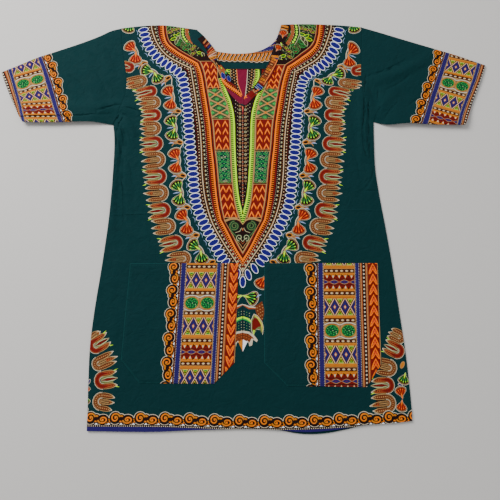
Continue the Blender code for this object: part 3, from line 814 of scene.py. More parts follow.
HANDS = (  # the fringe: kind of hand, where its root is, where it points to, width
    ("crimson", 231, 317, 262, 326, 24),
    ("gold", 203, 293, 250, 280, 27),
    ("crimson", 182, 269, 230, 256, 25),
    ("gold", 173, 242, 219, 237, 29),
    ("crimson", 171, 213, 215, 210, 28),
    ("gold", 170, 184, 213, 180, 31),
    ("crimson", 165, 150, 214, 146, 33),
    ("gold", 159, 115, 206, 112, 35),
    ("crimson", 156, 79, 205, 75, 33),
    ("gold", 151, 44, 199, 40, 35),
    ("crimson", 146, 9, 193, 2, 32),
    ("gold", 135, -25, 182, -30, 33),
    ("crimson", 120, -57, 168, -67, 30),
    ("gold", 103, -91, 150, -96, 30),
)
LIME_ROPE = past_middle(smooth_curve(
    (
        (46, 296), (42, 283), (38, 268), (29, 245), (23, 222), (20, 199), (19, 165), (18, 132), (16, 93), (13, 53),
        (9, 25), (5, 8), (0, -9),
    )
))


def comb(curve, ink, shade, side=1):
    """A rope: a bright cord with short teeth on one side, on a dark strip."""
    drawn = [(shade, strip(curve, -5.6, 5.6)), (ink, strip(curve, -3.2, 0.2) if side > 0 else strip(curve, -0.2, 3.2))]
    drawn += row(curve, 4.3, [(ink, bar(1.6, 5.0))], offset=2.4 * side)
    return drawn


def beads(curve, pitch, offset, size, ink, start=0.5):
    return row(curve, pitch, [(ink, oval(size, size, 6))], offset=offset, start=start)


FAN_RIM = smooth_curve(
    (
        (0.02, 0), (0.3, -0.14), (0.55, -0.4), (0.82, -0.47), (1.0, -0.26), (1.05, 0), (1.0, 0.26), (0.82, 0.47),
        (0.55, 0.4), (0.3, 0.14), (0.02, 0),
    ), 2
)[:-1]


def grown(shape, by):
    """A shape made larger or smaller about its middle."""
    middle = (shape.min(axis=0) + shape.max(axis=0)) / 2
    return (shape - middle) * by + middle


def fan(knot, heading, size, ground, petal, tip, stem):
    """A fan of petals that opens from a knot."""
    rim = FAN_RIM * size
    layers = [
        ("cream", grown(rim, 1.2)), ("maroon", grown(rim, 1.12)), ("tan", grown(rim, 1.03)),
        (ground, grown(rim, 0.96)),
    ]
    for i in range(5):
        turn = (i - 2) / 2 * math.radians(31)
        spin = np.array([[math.cos(turn), math.sin(turn)], [-math.sin(turn), math.cos(turn)]])
        blade = smooth_curve(
            ((0.34, 0), (0.7, -0.034), (0.9, -0.042), (0.95, 0), (0.9, 0.042), (0.7, 0.034), (0.34, 0)), 2,
        )[:-1]
        reach = 1 - 0.08 * abs(i - 2) / 2
        layers.append((petal, blade @ spin * size * reach))
        layers.append((tip, (oval(0.15, 0.07, 6, (0.86, 0))) @ spin * size * reach))
    layers.append((stem, np.array([(0, -0.045), (0.3, -0.07), (0.58, 0), (0.3, 0.07), (0, 0.045)]) * size))
    return place(layers, knot, heading)


RED_FAN = ("crimson", "vermilion", "orange", "orange")
GREEN_FAN = ("maroon", "leaf_green", "lime", "lime")


def fan_pairs(curve, knots, first):
    """Pairs of fans that open away from a knot between them, red and green by turns, with a bud between pairs."""
    drawn = []
    line = []
    run = run_of(curve)
    way_at = directions(curve)
    for i, knot in enumerate(knots):
        f = run[np.argmin(np.hypot(*(curve - knot).T))] / run[-1]
        knot = np.array(knot, float)
        way = np.array([np.interp(f, run / run[-1], way_at[:, k]) for k in (0, 1)])
        way = way / np.hypot(*way)
        out = np.array([-way[1], way[0]])
        inks = RED_FAN if (i + first) % 2 == 0 else GREEN_FAN
        bud = knot + way * 33 - out * 7
        line += [knot - way * 20 - out * 1.5, knot - out * 4.0, knot + way * 20 - out * 1.5, bud - out * 7]
        drawn += [("tan", ribbon([bud, bud + out * 9 + way * 1, bud + out * 20 - way * 3], (7, 4.4, 1.2)))]
        drawn += [("tan", ribbon([bud, bud + out * 9 - way * 2, bud + out * 17 + way * 7], (5, 3.0, 1.2)))]
        drawn += [("rust", ribbon([bud, bud + out * 9 + way * 1, bud + out * 18 - way * 3], (4, 1.8, 0.6)))]
        drawn += place(
            [("tan", oval(15, 9.5)), ("gold", oval(12.6, 7.4)), ("maroon", oval(9.6, 5.0))], bud, -out + way * 0.3,
        )
        drawn += place(
            [("pale_blue", ribbon([(0, 0), (5, 1.6), (11, 0.4)], (0.6, 3.2, 0.8)))], bud + out * 12 + way, out,
        )
        drawn += place([("pale_blue", ribbon([(0, 0), (7, 0.8), (14, 0)], (0.6, 2.6, 0.6)))], knot + out * 3, out)
        for sign in (-1, 1):
            drawn += fan(knot, sign * way * 0.9 + out * 0.4, 26, *inks)
        drawn += place([("tan", oval(4.5, 4.5, 8)), ("rust", oval(2.6, 1.6, 6))], knot, out)
    line = smooth_curve(line, 5)
    return [("cream", ribbon(line, np.full(len(line), 1.7)))] + drawn


def feather(root, tip, body, width=8.2, bend=0.0, flick=0.0, edge="tan", dash="tan"):
    """One tapered stroke of the fringe: a light edge that runs out in a pale point, a dark line and a dotted body."""
    root, tip = np.asarray(root, float), np.asarray(tip, float)
    way = tip - root
    length = np.hypot(*way)
    side = np.array([-way[1], way[0]]) / length
    t = np.array([0, 0.2, 0.4, 0.6, 0.75, 0.88, 1.0])[:, None]
    path = root + way * t + side * (bend * np.sin(t * math.pi) + flick * t**3)
    taper = np.array([0.9, 1.0, 1.0, 0.96, 0.8, 0.5, 0.1])
    drawn = [
        ("cream", ribbon(path[3:] + way * 0.05, width * np.array([0.8, 0.66, 0.4, 0.1]))),
        (edge, ribbon(root + (path - root) * 0.97, width * 0.96 * taper)),
        ("maroon", ribbon(root + (path - root) * 0.88, width * 0.76 * taper)),
        (body, ribbon(root + (path - root) * 0.84, width * 0.58 * taper)),
    ]
    for k in np.arange(0.04, 0.76, 3.9 / length):
        spot = root + way * k + side * bend * math.sin(k * math.pi)
        drawn += place([(dash, oval(2.6, 2.3, 6))], spot, way)
    return drawn


def fringe(hands):
    """The fringe of feathers in hands. Each hand's outer two feathers are joined in an arc round its root."""
    drawn = []
    for number, (kind, x0, y0, x1, y1, width) in enumerate(hands):
        root, tip = np.array((x0, y0), float), np.array((x1, y1), float)
        reach = (root - tip) / np.hypot(*(root - tip))
        across = np.array([-reach[1], reach[0]])
        half = (width - 9.5) / 2
        middle = root - reach * (half + 4.5)
        length = np.hypot(*(middle - tip))
        angle = np.linspace(-math.pi / 2, math.pi / 2, 9)[:, None]
        arc = middle + half * (np.sin(angle) * across + 0.94 * np.cos(angle) * reach)
        full = np.full(len(arc), 1.0)
        palm = ribbon(
            [middle - reach * length * 0.66, middle - reach * length * 0.3, middle + reach * 3],
            (width * 0.5, width * 0.72, width * 0.72),
        )
        if kind == "gold":
            drawn += [("maroon", palm)]
            for k, (side, long) in enumerate(((-1, 0.96), (1, 0.93), (0, 1.04))):
                start = middle + across * half * side + reach * (half * 0.42 if side == 0 else 0)
                end = middle + across * half * side * 1.04 - reach * length * (long + 0.04 * math.sin(1.9 * number + k))
                drawn += feather(
                    start, end, "brown" if side else "rust", 10.4, 0, 2.2 * math.sin(1.3 * number + k), "tan",
                    "tan" if side else "maroon",
                )
            drawn += [
                ("cream", ribbon(arc, full * 11.6)), ("maroon", ribbon(arc, full * 9.6)),
                ("tan", ribbon(arc, full * 8.0)), ("maroon", ribbon(arc, full * 6.2)),
                ("brown", ribbon(arc, full * 5.0)),
            ]
            drawn += row(arc, 3.9, [("tan", oval(2.2, 2.0, 6))])
            core = [middle - reach * 15, middle - reach * 5, middle + reach * half * 0.34]
            drawn += [
                ("tan", ribbon(core, (5.8, 6.6, 4.0))), ("maroon", ribbon(core, (4.2, 5.0, 2.4))),
                ("tan", ribbon(core, (1.4, 1.8, 0.8))),
            ]
        else:
            drawn += [("olive", palm)]
            for k, side in enumerate((-1, 1)):
                start = middle + across * half * side
                end = start - reach * length * (0.92 + 0.05 * math.sin(1.1 * number + 2 * k))
                drawn += feather(start, end, "rust", 11.4, 0, 2.4 * math.sin(0.9 * number + k), "tan", "maroon")
                flick = start - reach * length * 0.8 + across * side * 3
                drawn += [("lime", ribbon([flick, flick - reach * length * 0.22 + across * side * 2.4], (2.2, 0.4)))]
            drawn += [
                ("cream", ribbon(arc, full * 11.6)), ("maroon", ribbon(arc, full * 9.8)),
                ("rust", ribbon(arc, full * 8.2)), ("crimson", ribbon(arc, full * 5.8)),
            ]
            for side in (-1, 1):
                leg = middle + across * half * side
                drawn += [("crimson", ribbon([leg, leg - reach * length * 0.42], (5.4, 1.0)))]
            leaf = [
                middle - reach * length * 0.98, middle - reach * length * 0.7, middle - reach * length * 0.3,
                middle + reach * half * 0.3,
            ]
            drawn += [("sage", ribbon(leaf, (0.8, 7.4, 8.6, 2.0)))]
            drawn += [("maroon", ribbon(leaf, (0.2, 3.8, 5.6, 0.8))), ("crimson", ribbon(leaf, (0.1, 2.2, 4.0, 0.3)))]
    return drawn


def field(inner, outer, high, low, ink, edge="tan"):
    """A panel between two falling curves, with a thin edge."""
    a, b = span(inner, high, low), span(outer, high, low)
    shape = between(a, b)
    middle = shape.mean(axis=0)
    return [(edge, middle + (shape - middle) * 1.0), (ink, middle + (shape - middle) * (0.9, 0.965))], a, b


def chevron_panel(inner, outer, high, low, rows=4):
    """A crimson panel with two columns of orange chevrons."""
    drawn, a, b = field(inner, outer, high, low, "crimson")
    for column in (0.28, 0.72):
        for i in range(rows):
            level = low + (high - low) * (i + 0.42) / rows
            left, right = (np.interp(level, c[::-1, 1], c[::-1, 0]) for c in (a, b))
            width = abs(right - left)
            spot = (left + (right - left) * column, level - 1)
            layers = [
                ("orange", vee(16, min(11, width * 0.4), 5.4, (-8, 0))),
                ("salmon", vee(13.6, min(8.4, width * 0.3), 1.5, (-6.4, 0))),
            ]
            drawn += place(layers, spot, (0, 1))
    return drawn


def lattice_panel(inner, outer, high, low):
    """A green panel crossed by tan bands, with dotted diamonds between them."""
    drawn, a, b = field(inner, outer, high, low, "dark_green")
    levels = np.linspace(high - 2, low + 2, 4)
    crossings = []
    for upper, lower in zip(levels, levels[1:]):
        (x0, x1), (x2, x3) = [[np.interp(level, c[::-1, 1], c[::-1, 0]) for c in (a, b)] for level in (upper, lower)]
        middle = ((x0 + x1 + x2 + x3) / 4, (upper + lower) / 2)
        crossings.append(middle)
        spots = [
            ((x0 + x1) / 2, upper), ((x2 + x3) / 2, lower), (middle[0] - (x1 - x0) * 0.44, middle[1]),
            (middle[0] + (x1 - x0) * 0.44, middle[1]),
        ]
        for spot in spots:
            drawn += place(
                [
                    ("olive", diamond(11.4, 18)), ("dark_green", diamond(9.6, 15.6)),
                    ("leaf_green", diamond(7.4, 11)), ("mint", oval(1.8, 2.2, 6, (0, -2.4))),
                    ("mint", oval(1.8, 2.2, 6, (0, 2.4))),
                ],
                spot, (0, 1),
            )
    for middle, upper, lower in zip(crossings, levels, levels[1:]):
        (x0, x1), (x2, x3) = [[np.interp(level, c[::-1, 1], c[::-1, 0]) for c in (a, b)] for level in (upper, lower)]
        for ends in (((x0, upper), (x3, lower)), ((x1, upper), (x2, lower))):
            drawn += [("tan", ribbon(ends, (3.0, 3.0)))]
        drawn += place([("gold", diamond(6, 7)), ("orange", diamond(3, 3.4))], middle, (0, 1))
    return drawn


def scroll_panel(inner, outer, high, low):
    """A near-black green panel filled with small pale green scrolls, alike on both sides of its middle."""
    drawn, a, b = field(inner, outer, high, low, "green_ground")
    rows = 8
    for i in range(rows):
        level = low + (high - low) * (i + 0.5) / rows
        left, right = (np.interp(level, c[::-1, 1], c[::-1, 0]) for c in (a, b))
        middle, reach = (left + right) / 2, (right - left) * 0.45
        for side in (-1, 1):
            hand = side * (1 if i % 2 else -1)
            drawn += spiral((middle + side * reach * 0.66, level + 0.8), 3.4, 1.15, 1.1, "mint", 0.8 + i, hand)
            drawn += spiral(
                (middle + side * reach * 0.24, level - 1.6), 2.7, 1.0, 1.0, "leaf_green" if i % 3 else "sage",
                2.2 - i, -hand,
            )
            path = np.array([
                (middle + side * reach * 0.95, level - 3), (middle + side * reach * 0.5, level - 4.4),
                (middle + side * 0.8, level - 2.2),
            ])
            drawn += [("leaf_green", ribbon(path, (0.7, 1.3, 0.7)))]
        drawn += place([("leaf_green", diamond(4.6, 2.6)), ("cream", oval(1.2, 1.2, 5))], (middle, level + 2.6), (0, 1))
    return drawn


def spiral(at, radius, turns, width, ink, start=0.0, hand=1):
    angle = np.linspace(0, turns * 2 * math.pi, int(14 * turns))
    path = np.column_stack([np.cos(start + hand * angle), np.sin(start + hand * angle)])
    path = path * (radius * (1 - 0.82 * angle / angle[-1]))[:, None] + at
    return [(ink, ribbon(path, np.full(len(path), width)))]


def leaves(curve, pitch, offset, length, inks, wobble):
    """Outlined leaves along a curve, turning this way and that."""
    drawn = []
    count = max(1, round(run_of(curve)[-1] / pitch))
    spots = along(curve, (np.arange(count) + 0.5) / count)
    ways = directions(spots) if count > 1 else directions(curve[[0, -1]])
    for i, (spot, way) in enumerate(zip(spots, ways)):
        turn = wobble * math.sin(2.4 * i + 0.7) + (math.pi / 2 if i % 2 else -math.pi / 2) * 0.55
        c, s = math.cos(turn), math.sin(turn)
        heading = (way[0] * c - way[1] * s, way[0] * s + way[1] * c)
        out = np.array([-way[1], way[0]])
        blade = smooth_curve(((-0.5, 0), (-0.15, -0.24), (0.5, 0), (-0.15, 0.24), (-0.5, 0)), 2)[:-1]
        layers = [(inks[i % len(inks)], blade * length), ("maroon", blade * length * (0.84, 0.72))]
        layers += [(inks[(i + 2) % len(inks)], blade * length * (0.46, 0.14))]
        drawn += place(layers, spot + offset * out, heading)
    return drawn


def yoke_half():
    """One half of the yoke's print, from the middle outwards."""
    rope_in = beside(ROPE, -9)
    lime_out = beside(LIME_ROPE, 7)
    drawn = [("maroon", between(beside(ROPE, -8), beside(OVALS, -11)))]
    # shoulder: outlined leaves on a dark ground between the orange rope and the neck
    shoulder = smooth_curve(((170, 424), (166, 405), (157, 386), (139, 366), (116, 350), (88, 333)))
    neck_side = smooth_curve(((104, 424), (107, 405), (104, 386), (92, 368), (80, 352), (66, 340)))
    drawn.append(("maroon", between(beside(shoulder, 6), neck_side)))
    drawn.append(("tan", strip(shoulder, 2.2, 3.6)))
    inks = ("leaf_green", "mint", "tan", "dark_green", "lime", "sage", "leaf_green", "olive")
    for offset, pitch, length, turn in (
        (-7, 9.6, 15, 0.5), (-15, 9.0, 14, -0.6), (-23, 9.4, 14, 0.9), (-31, 9.6, 13, -0.4), (-39, 9.6, 13, 0.4),
    ):
        for ink, shape in leaves(shoulder, pitch, offset, length, inks, turn):
            spot = shape.mean(axis=0)
            edge = along(neck_side, [np.clip((424 - spot[1]) / 90, 0, 1)])[0]
            if spot[0] > edge[0] + 3:
                drawn.append((ink, shape))
    lime_bead = smooth_curve(((127, 424), (129.5, 411), (129.5, 399), (126, 388), (119, 379)))
    drawn += [("sage", strip(lime_bead, 4.6, 5.6)), ("maroon", strip(lime_bead, -4.4, 4.6))]
    drawn += row(lime_bead, 6.2, [("leaf_green", oval(5.8, 5.8, 9)), ("lime", oval(4.6, 4.4, 9))])
    brown = smooth_curve(((119, 424), (121, 408), (120, 396), (115, 386), (107, 376)))
    drawn.append(("rust", strip(brown, -3.4, 3.4)))
    for offset, size, ink in ((0, 2.6, "maroon"), (0, 1.5, "tan"), (3.2, 1.3, "sage")):
        drawn += beads(brown, 5.2, offset, size, ink)
    # panels between the two ropes
    drawn.append(("maroon", between(span(lime_out, 345, -8), span(rope_in, 345, -8))))
    drawn += chevron_panel(lime_out, rope_in, 334, 273, 4)
    drawn += lattice_panel(lime_out, rope_in, 270, 205)
    drawn += chevron_panel(lime_out, rope_in, 203, 136)
    drawn += scroll_panel(lime_out, rope_in, 133, 65)
    drawn += chevron_panel(lime_out, rope_in, 62, -9)
    # ropes and the dotted bands outside them
    drawn.append(("crimson", strip(ROPE, -8.4, -5.0)))
    drawn.append(("tan", strip(ROPE, -9.4, -8.2)))
    drawn.append(("crimson", strip(ROPE, 5.0, 8.6)))
    drawn += comb(ROPE, "orange", "maroon")
    mixed = along(ROPE, np.linspace(0, 1, 90)) * 0.36 + along(TAN_LINE, np.linspace(0, 1, 90)) * 0.64
    drawn += row(mixed, 8.8, [("sage", oval(4.6, 3.2, 8))], offset=0.8)
    drawn += row(mixed, 4.4, [("cream", oval(1.6, 1.4, 5))], offset=-3.0)
    drawn += row(mixed, 4.4, [("gold", oval(1.4, 1.2, 5))], offset=3.9)
    drawn.append(("tan", strip(TAN_LINE, -1.2, 1.2)))
    drawn.append(("cream", strip(TAN_LINE, -0.5, 0.6)))
    drawn += beads(TAN_LINE, 6.5, 4.7, 3.2, "tan") + beads(TAN_LINE, 6.5, 4.7, 1.6, "cream")
    drawn += beads(TAN_LINE, 6.5, 8.0, 2.2, "crimson", 0.0)
    # blue ovals with white edges
    drawn += row(OVALS, 11.6, [("white", oval(12.0, 23.2, 14))])
    drawn += row(OVALS, 11.6, [("blue", oval(9.9, 20.8, 14))])
    for x, y, lean in ((23.5, -112.5, 0.5), (11.0, -125, 0.32)):
        drawn += place(
            [("white", oval(12.2, 23.0, 14)), ("blue", oval(9.9, 20.6, 14))], (x, y),
            (math.cos(lean), math.sin(lean)),
        )
    drawn += row(OVALS, 11.6, [("maroon", oval(2.6, 4.6, 6))], offset=-9.4, start=0.0)
    drawn += row(
        OVALS, 17.4, [("pale_blue", ribbon([(-6, 1.6), (-2, -0.6), (3, -0.6), (6, 1.8)], (0.5, 1.0, 1.0, 0.5)))],
        offset=14.2,
    )
    drawn += fan_pairs(FANS, FAN_KNOTS, 0)
    drawn += fan((244, 428), (0.2, -1), 25, *GREEN_FAN)
    drawn += fringe(HANDS)
    # the lime rope comes last, over the panels' edges
    drawn.append(("tan", strip(LIME_ROPE, 5.4, 7.2)))
    drawn += comb(LIME_ROPE, "lime", "dark_green")
    kept = [(ink, shape) for ink, shape in drawn if shape[:, 0].max() > 0.3]
    return [(ink, np.column_stack([np.maximum(shape[:, 0], 0), shape[:, 1]])) for ink, shape in kept]


def centre_print():
    """The dotted column between the lime ropes, and the heart under them."""
    half = span(beside(LIME_ROPE, -4), 286, -2)
    drawn = [("maroon", between(half * (1, 1), half * (-1, 1)))]
    order = np.argsort(LIME_ROPE[:, 1], kind="stable")
    for i, y in enumerate(np.arange(240, 12, -8.2)):
        room = np.interp(y, LIME_ROPE[order, 1], LIME_ROPE[order, 0]) - 5.4
        if room > 8.6:
            for x in (-5.8, 5.8):
                ring = ("sage", "tan")[i % 2]
                drawn += place(
                    [(ring, oval(5.4, 5.4, 8)), ("maroon", oval(3.4, 3.4, 8)), ("cream", oval(1.2, 1.2, 5))], (x, y),
                    (1, 0),
                )
        drawn += place([("rust", diamond(5.4, 3.4)), ("cream", oval(1.2, 1.2, 5))], (0, y), (0, 1))
        drawn += place([("cream", oval(1.6, 1.6, 5))], (0, y + 4.1), (1, 0))
        for x in (-10.8, 10.8):
            if room > 10.6:
                drawn += place([("sage", oval(1.9, 1.9, 5))], (x, y + 2), (1, 0))
            if 4 < room <= 8.6:
                drawn += place([("sage", oval(1.7, 1.7, 5))], (x * (room - 2) / 10.8, y + 2), (1, 0))
            if room > 16:
                drawn += place([("cream", oval(1.9, 1.9, 5))], (x * 1.4, y + 5), (1, 0))
    drawn += place([("wine", diamond(44, 6)), ("salmon", diamond(30, 2.2))], (0, 232), (0, 1))
    rim = smooth_curve(((-38, -14), (-22, -9), (-9, -11), (0, -21)))
    heart = np.vstack([rim, rim[::-1][1:] * (-1, 1), [(0, -82)]])
    drawn += [("tan", heart), ("maroon", (heart - (0, -40)) * (0.92, 0.9) + (0, -41))]
    for side in (-1, 1):
        drawn += spiral((side * 16.5, -26), 10.4, 2.0, 4.2, "dark_green", math.pi / 2, -side)
        drawn += spiral((side * 16.5, -26), 10.2, 2.0, 1.3, "olive", math.pi / 2, -side)
        drawn += [("dark_green", ribbon([(side * 26, -24), (side * 22, -38), (side * 12, -48)], (2, 4, 3)))]
        drawn += [("olive", ribbon([(side * 27, -22), (side * 23, -37), (side * 14, -47)], (0.8, 1.3, 0.8)))]
        drawn += spiral((side * 6.6, -50), 7.4, 1.3, 3.0, "dark_green", -math.pi / 2, side)
        drawn += spiral((side * 6.6, -50), 7.2, 1.3, 1.2, "sage", -math.pi / 2, side)
        drawn += [("sage", ribbon([(side * 2, -30), (side * 6, -37), (side * 15, -40)], (1.0, 1.3, 0.8)))]
        drawn += [("tan", ribbon([(0, -72), (side * 5, -64), (side * 12, -56)], (1.2, 1.3, 0.9)))]
    drawn += place([("sage", vee(9, 12, 1.6, (-4, 0))), ("rust", vee(7, 8, 1.6, (3, 0)))], (0, -54), (0, -1))
    drawn += place([("rust", oval(6, 3.4, 8)), ("tan", oval(3, 1.4, 6, (0, 0)))], (0, -33), (0, 1))
    return drawn


def yoke():
    """The whole yoke: one half, its mirror image and the middle."""
    half = yoke_half()
    inner = beside(ROPE, -9)
    inner[:, 0] = np.maximum(inner[:, 0], 0)
    drawn = [("maroon", between(inner, inner * (-1, 1)))]
    drawn += [(ink, shape * (-1, 1)) for ink, shape in half]
    drawn += [(ink, pulled(shape)) for ink, shape in half]
    drawn += [("white", oval(12.4, 23.6, 14, (0, -139))), ("blue", oval(10.0, 21.0, 14, (0, -139)))]
    return drawn + centre_print()


def pulled(shape):
    """The right side of the yoke lies a little lower and nearer the neck at the shoulder."""
    x, y = shape[:, 0], shape[:, 1]
    nearer = smoothstep((y - 320) / 70) * (6 + 7 * smoothstep((150 - x) / 20))
    lower = 8 * smoothstep((y - 262) / 50) * (1 - smoothstep((y - 345) / 55))
    return np.column_stack([x - nearer, y - lower])


def on_cloth(motifs):
    """Print coordinates to metres in plan: the print's middle leans a little."""
    moved = []
    for ink, shape in motifs:
        middle = -0.9 - 0.0026 * shape[:, 1]
        moved.append((ink, np.column_stack([shape[:, 0] + middle, shape[:, 1]]) * MM))
    return moved


def curl(big):
    """One curl of the scroll border, outward to the left: a wound gold stroke, and the leaf that links it on."""
    wide, high = (10.6, 10.6) if big else (11.4, 8.6)
    middle = np.array((0.0, 0.0 if big else -0.6))
    leaf = oval(15, 17, 12, (11.2, -1.6)) if big else oval(15, 11, 12, (9.0, -3.0))
    outline = [("cream", grown(leaf, 1.2)), ("cream", oval(2 * wide + 3.4, 2 * high + 3.4, 16, middle))]
    inner = [("maroon", grown(leaf, 1.04)), ("maroon", oval(2 * wide + 1.2, 2 * high + 1.2, 16, middle))]
    inner += [
        ("gold", grown(leaf, 0.8)), ("maroon", grown(leaf, 0.42)),
        ("orange", ribbon([(8, -7), (13.4, -5), (15.6, 0)], (0.5, 1.5, 0.5))),
    ]
    inner += [("maroon", oval(2 * wide - 0.6, 2 * high - 0.6, 16, middle))]
    angle = np.linspace(0, 1.35 * 2 * math.pi, 24)
    turn = (0.2 if big else 3.3) + angle
    stroke = np.column_stack([
        np.cos(turn) * (wide - 1.9), np.sin(turn) * (high - 1.9),
    ]) * (1 - 0.78 * angle / angle[-1])[:, None] + middle
    inner += [
        ("gold", ribbon(stroke, np.linspace(3.1, 2.2, 24))), ("orange", ribbon(stroke[3:15], np.full(12, 1.1))),
        ("orange", oval(3.4, 3.0, 8, middle)),
    ]
    return outline, inner


def scroll(edge, phase=0.0):
    """The border's wavy scroll. edge runs with the cloth's ground on its left."""
    drawn = [("maroon", strip(edge, -26, -12))]
    length = run_of(edge)[-1]
    numbers = np.arange(math.floor(phase / 23.4) - 1, math.ceil((phase + length) / 23.4) + 2)
    numbers = [n for n in numbers if -6 < n * 23.4 - phase < length + 6]
    ways = directions(along(edge, np.linspace(0, 1, 60)))
    outlines, inners, marks = [], [], []
    for n in numbers:
        for shift in (0, 0.5):
            f = np.clip(((n + shift) * 23.4 - phase) / length, 0, 1)
            spot, way = along(edge, [f])[0], ways[int(f * 59)]
            out = np.array([-way[1], way[0]])
            if shift:
                marks += place(
                    [("maroon", diamond(10, 5.6)), ("white", np.array([(-3.4, -1.3), (3.4, -1.3), (0, 1.6)]))],
                    spot - out * 22.0, way,
                )
            else:
                outline, inner = curl(n % 2 == 0)
                spot = spot - out * (11.6 if n % 2 == 0 else 14.0)
                outlines += place(outline, spot, way)
                inners += place(inner, spot, way)
    drawn += outlines + inners + marks
    return drawn + [("maroon", strip(edge, -26.6, -23.4)), ("rust", strip(edge, -25.4, -24.8))]


HEM_BORDER = smooth_curve(((330, -381.5), (220, -385), (110, -390), (0, -390), (-150, -385.5), (-310, -384.5)))


def hem_border():
    """The border along the hem: scrolls, a beaded line and a blue stripe that runs under the fold."""
    edge = HEM_BORDER[::-1]  # left to right, so that the scrolls stand on its left
    drawn = scroll(edge, 23.4)
    drawn += [("maroon", strip(edge, -40.5, -23.6)), ("indigo", strip(edge, -36.8, -27.4))]
    for offset in (-25.9, -38.0):
        drawn += beads(edge, 4.0, offset, 2.1, "cream")
    return drawn


def pendant():
    """What hangs below the yoke's point: fans, a dotted band with a lime chevron, red leaves and pale tips."""
    half = fan((45, -126), (-0.45, -0.9), 26, *RED_FAN) + fan((1, -166), (0.94, -0.28), 27, *GREEN_FAN)
    half += place([("pale_blue", ribbon([(0, 0), (5, 1.6), (11, 0.4)], (0.6, 3.2, 0.8)))], (27, -170), (0.9, 0.5))
    half += [("brown", np.array([(23, -188), (38, -177), (43, -198), (38, -216), (28, -206)]))]
    for x, y in (
        (28, -190), (33, -187), (38, -184), (29, -196), (34, -193), (39, -190), (31, -202), (35, -199), (39, -197),
        (34, -206), (38, -204), (38, -211),
    ):
        half += [("tan", oval(2.6, 2.0, 6, (x, y)))]
    half += [
        ("cream", ribbon([(0, -183), (12, -189), (25, -190)], (1.4, 5.2, 3.0))),
        ("rust", ribbon([(0, -184.5), (12, -191), (26, -191.5)], (1.0, 3.4, 1.8))),
    ]
    for y in np.arange(-196, -234, -5.2):
        for x in (2.6, 7.8, 13.0):
            half += [("mint" if x == 7.8 else "sage", oval(1.7, 1.7, 5, (x, y - x * 0.35)))]
    half += [
        ("leaf_green", ribbon([(0, -209.5), (9, -212.5), (19, -219.5)], (6.2, 6.2, 5.0))),
        ("lime", ribbon([(0, -208), (9, -211), (18.5, -218)], (3.2, 3.4, 3.0))),
    ]
    leaf = [
        (17, -214), (22, -203), (29, -206), (37, -217), (40, -228), (38, -241), (33, -232), (27, -231), (21, -243),
        (17, -232),
    ]
    half += [
        ("cream", grown(np.array(leaf, float), 1.08)), ("olive", np.array(leaf, float)),
        ("yellow", ribbon([(23, -205), (30, -210), (37, -222), (38, -236)], (2.0, 3.0, 3.0, 1.2))),
    ]
    heart = [
        (18.6, -216), (22.5, -209), (28, -211), (34, -220), (35, -226), (30, -227), (26, -230), (21, -237),
        (18.4, -230),
    ]
    half.append(("crimson", np.array(heart)))
    half += [("lime", ribbon([(22, -233), (20.6, -243)], (3.4, 0.8)))]
    tips = [
        (0, -234), (12, -236), (22, -243), (29, -252), (27, -256), (20, -251), (18, -262), (13, -264), (11, -256),
        (6, -258), (0, -258),
    ]
    palm = [(0, -238), (11, -240), (19, -246), (22, -250), (17, -249), (13, -257), (9, -253), (5, -257), (0, -257)]
    half += [
        ("cream", np.array(tips, float)),
        ("brown", np.array(palm)),
    ]
    for x, y in ((2.4, -241), (7, -242), (12, -244.5), (2.4, -246), (7, -247.5), (12, -250), (17, -248), (2.4, -251)):
        half += [("rust", oval(3.4, 2.6, 6, (x, y)))]
    drawn = [(ink, shape * (-1, 1)) for ink, shape in half] + half
    return drawn + [
        ("white", np.array([(0, -251), (9, -255), (0, -274)])),
        ("gold", np.array([(0, -251), (-9, -255), (0, -274)])),
        ("maroon", ribbon([(0, -188), (0, -262)], (1.1, 0.5))),
    ]


CORNER_HANDS = (  # those whose roots are cut off by the side seams: kind, root, tip and width
    ("gold", -300, -256, -277, -238, 18),
    ("crimson", -296, -270, -258, -248, 30),
    ("gold", -288, -302, -244, -282, 27),
    ("crimson", -283, -330, -238, -323, 33),
    ("gold", -284, -364, -245, -370, 33),
    ("gold", 314, -252, 284, -236, 26),
    ("crimson", 310, -279, 272, -260, 29),
    ("gold", 295, -307, 256, -300, 32),
    ("crimson", 289, -336, 243, -338, 30),
    ("gold", 290, -368, 243, -373, 34),
)


def corners():
    """The ends of the fringe at the lower corners, and the fans beside them."""
    drawn = fan((303, -361), (-0.2, 1), 20, *RED_FAN) + fan((302, -364), (-0.15, -1), 19, *RED_FAN) + fan(
        (311, -314), (-0.3, -1), 20, *GREEN_FAN,
    )
    drawn += fan((-300, -352), (0.35, 1), 13, *RED_FAN) + fan((-300, -356), (0.3, -1), 15, *GREEN_FAN)
    drawn += place([("tan", oval(15, 8)), ("gold", oval(12, 5.4))], (306, -299), (0.5, 1))
    for spot, heading in (((-293, -330), (0.3, 1)), ((-294, -383), (0.3, 1)), ((300, -336), (-1, 0.4))):
        drawn += place([("cream", oval(10, 5)), ("indigo", oval(8, 3.4))], spot, heading)
    return drawn + fringe(CORNER_HANDS)


front_motifs = on_cloth(yoke() + pendant() + corners())
front_motifs += [(ink, shape * MM) for ink, shape in hem_border()]
front_guides = edge_guides(FRONT_EDGE, (0.0006, 0.0013, 0.0022, 0.0034), 0.004)
front_guides += edge_guides(HEM_STITCHES, (-0.003, -0.001, 0.001, 0.003, 0.0065), 0.003)
front_guides += crease_guides(CREASES)
front = thin_shell(
    "front_cloth",
    front_outline,
    front_over,
    front_under,
    front_motifs,
    [],
    "green_ground",
    "green_ground",
    spacing=0.009,
    guides=front_guides,
)
hem_line = along(HEM_STITCHES, np.linspace(0, 1, 400))
hem_line = hem_line[inside(front_outline, hem_line) & (front_away(hem_line) > 0.003)]
stitches("body_hem_stitches", [hem_line], front_over)
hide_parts("front_panel")

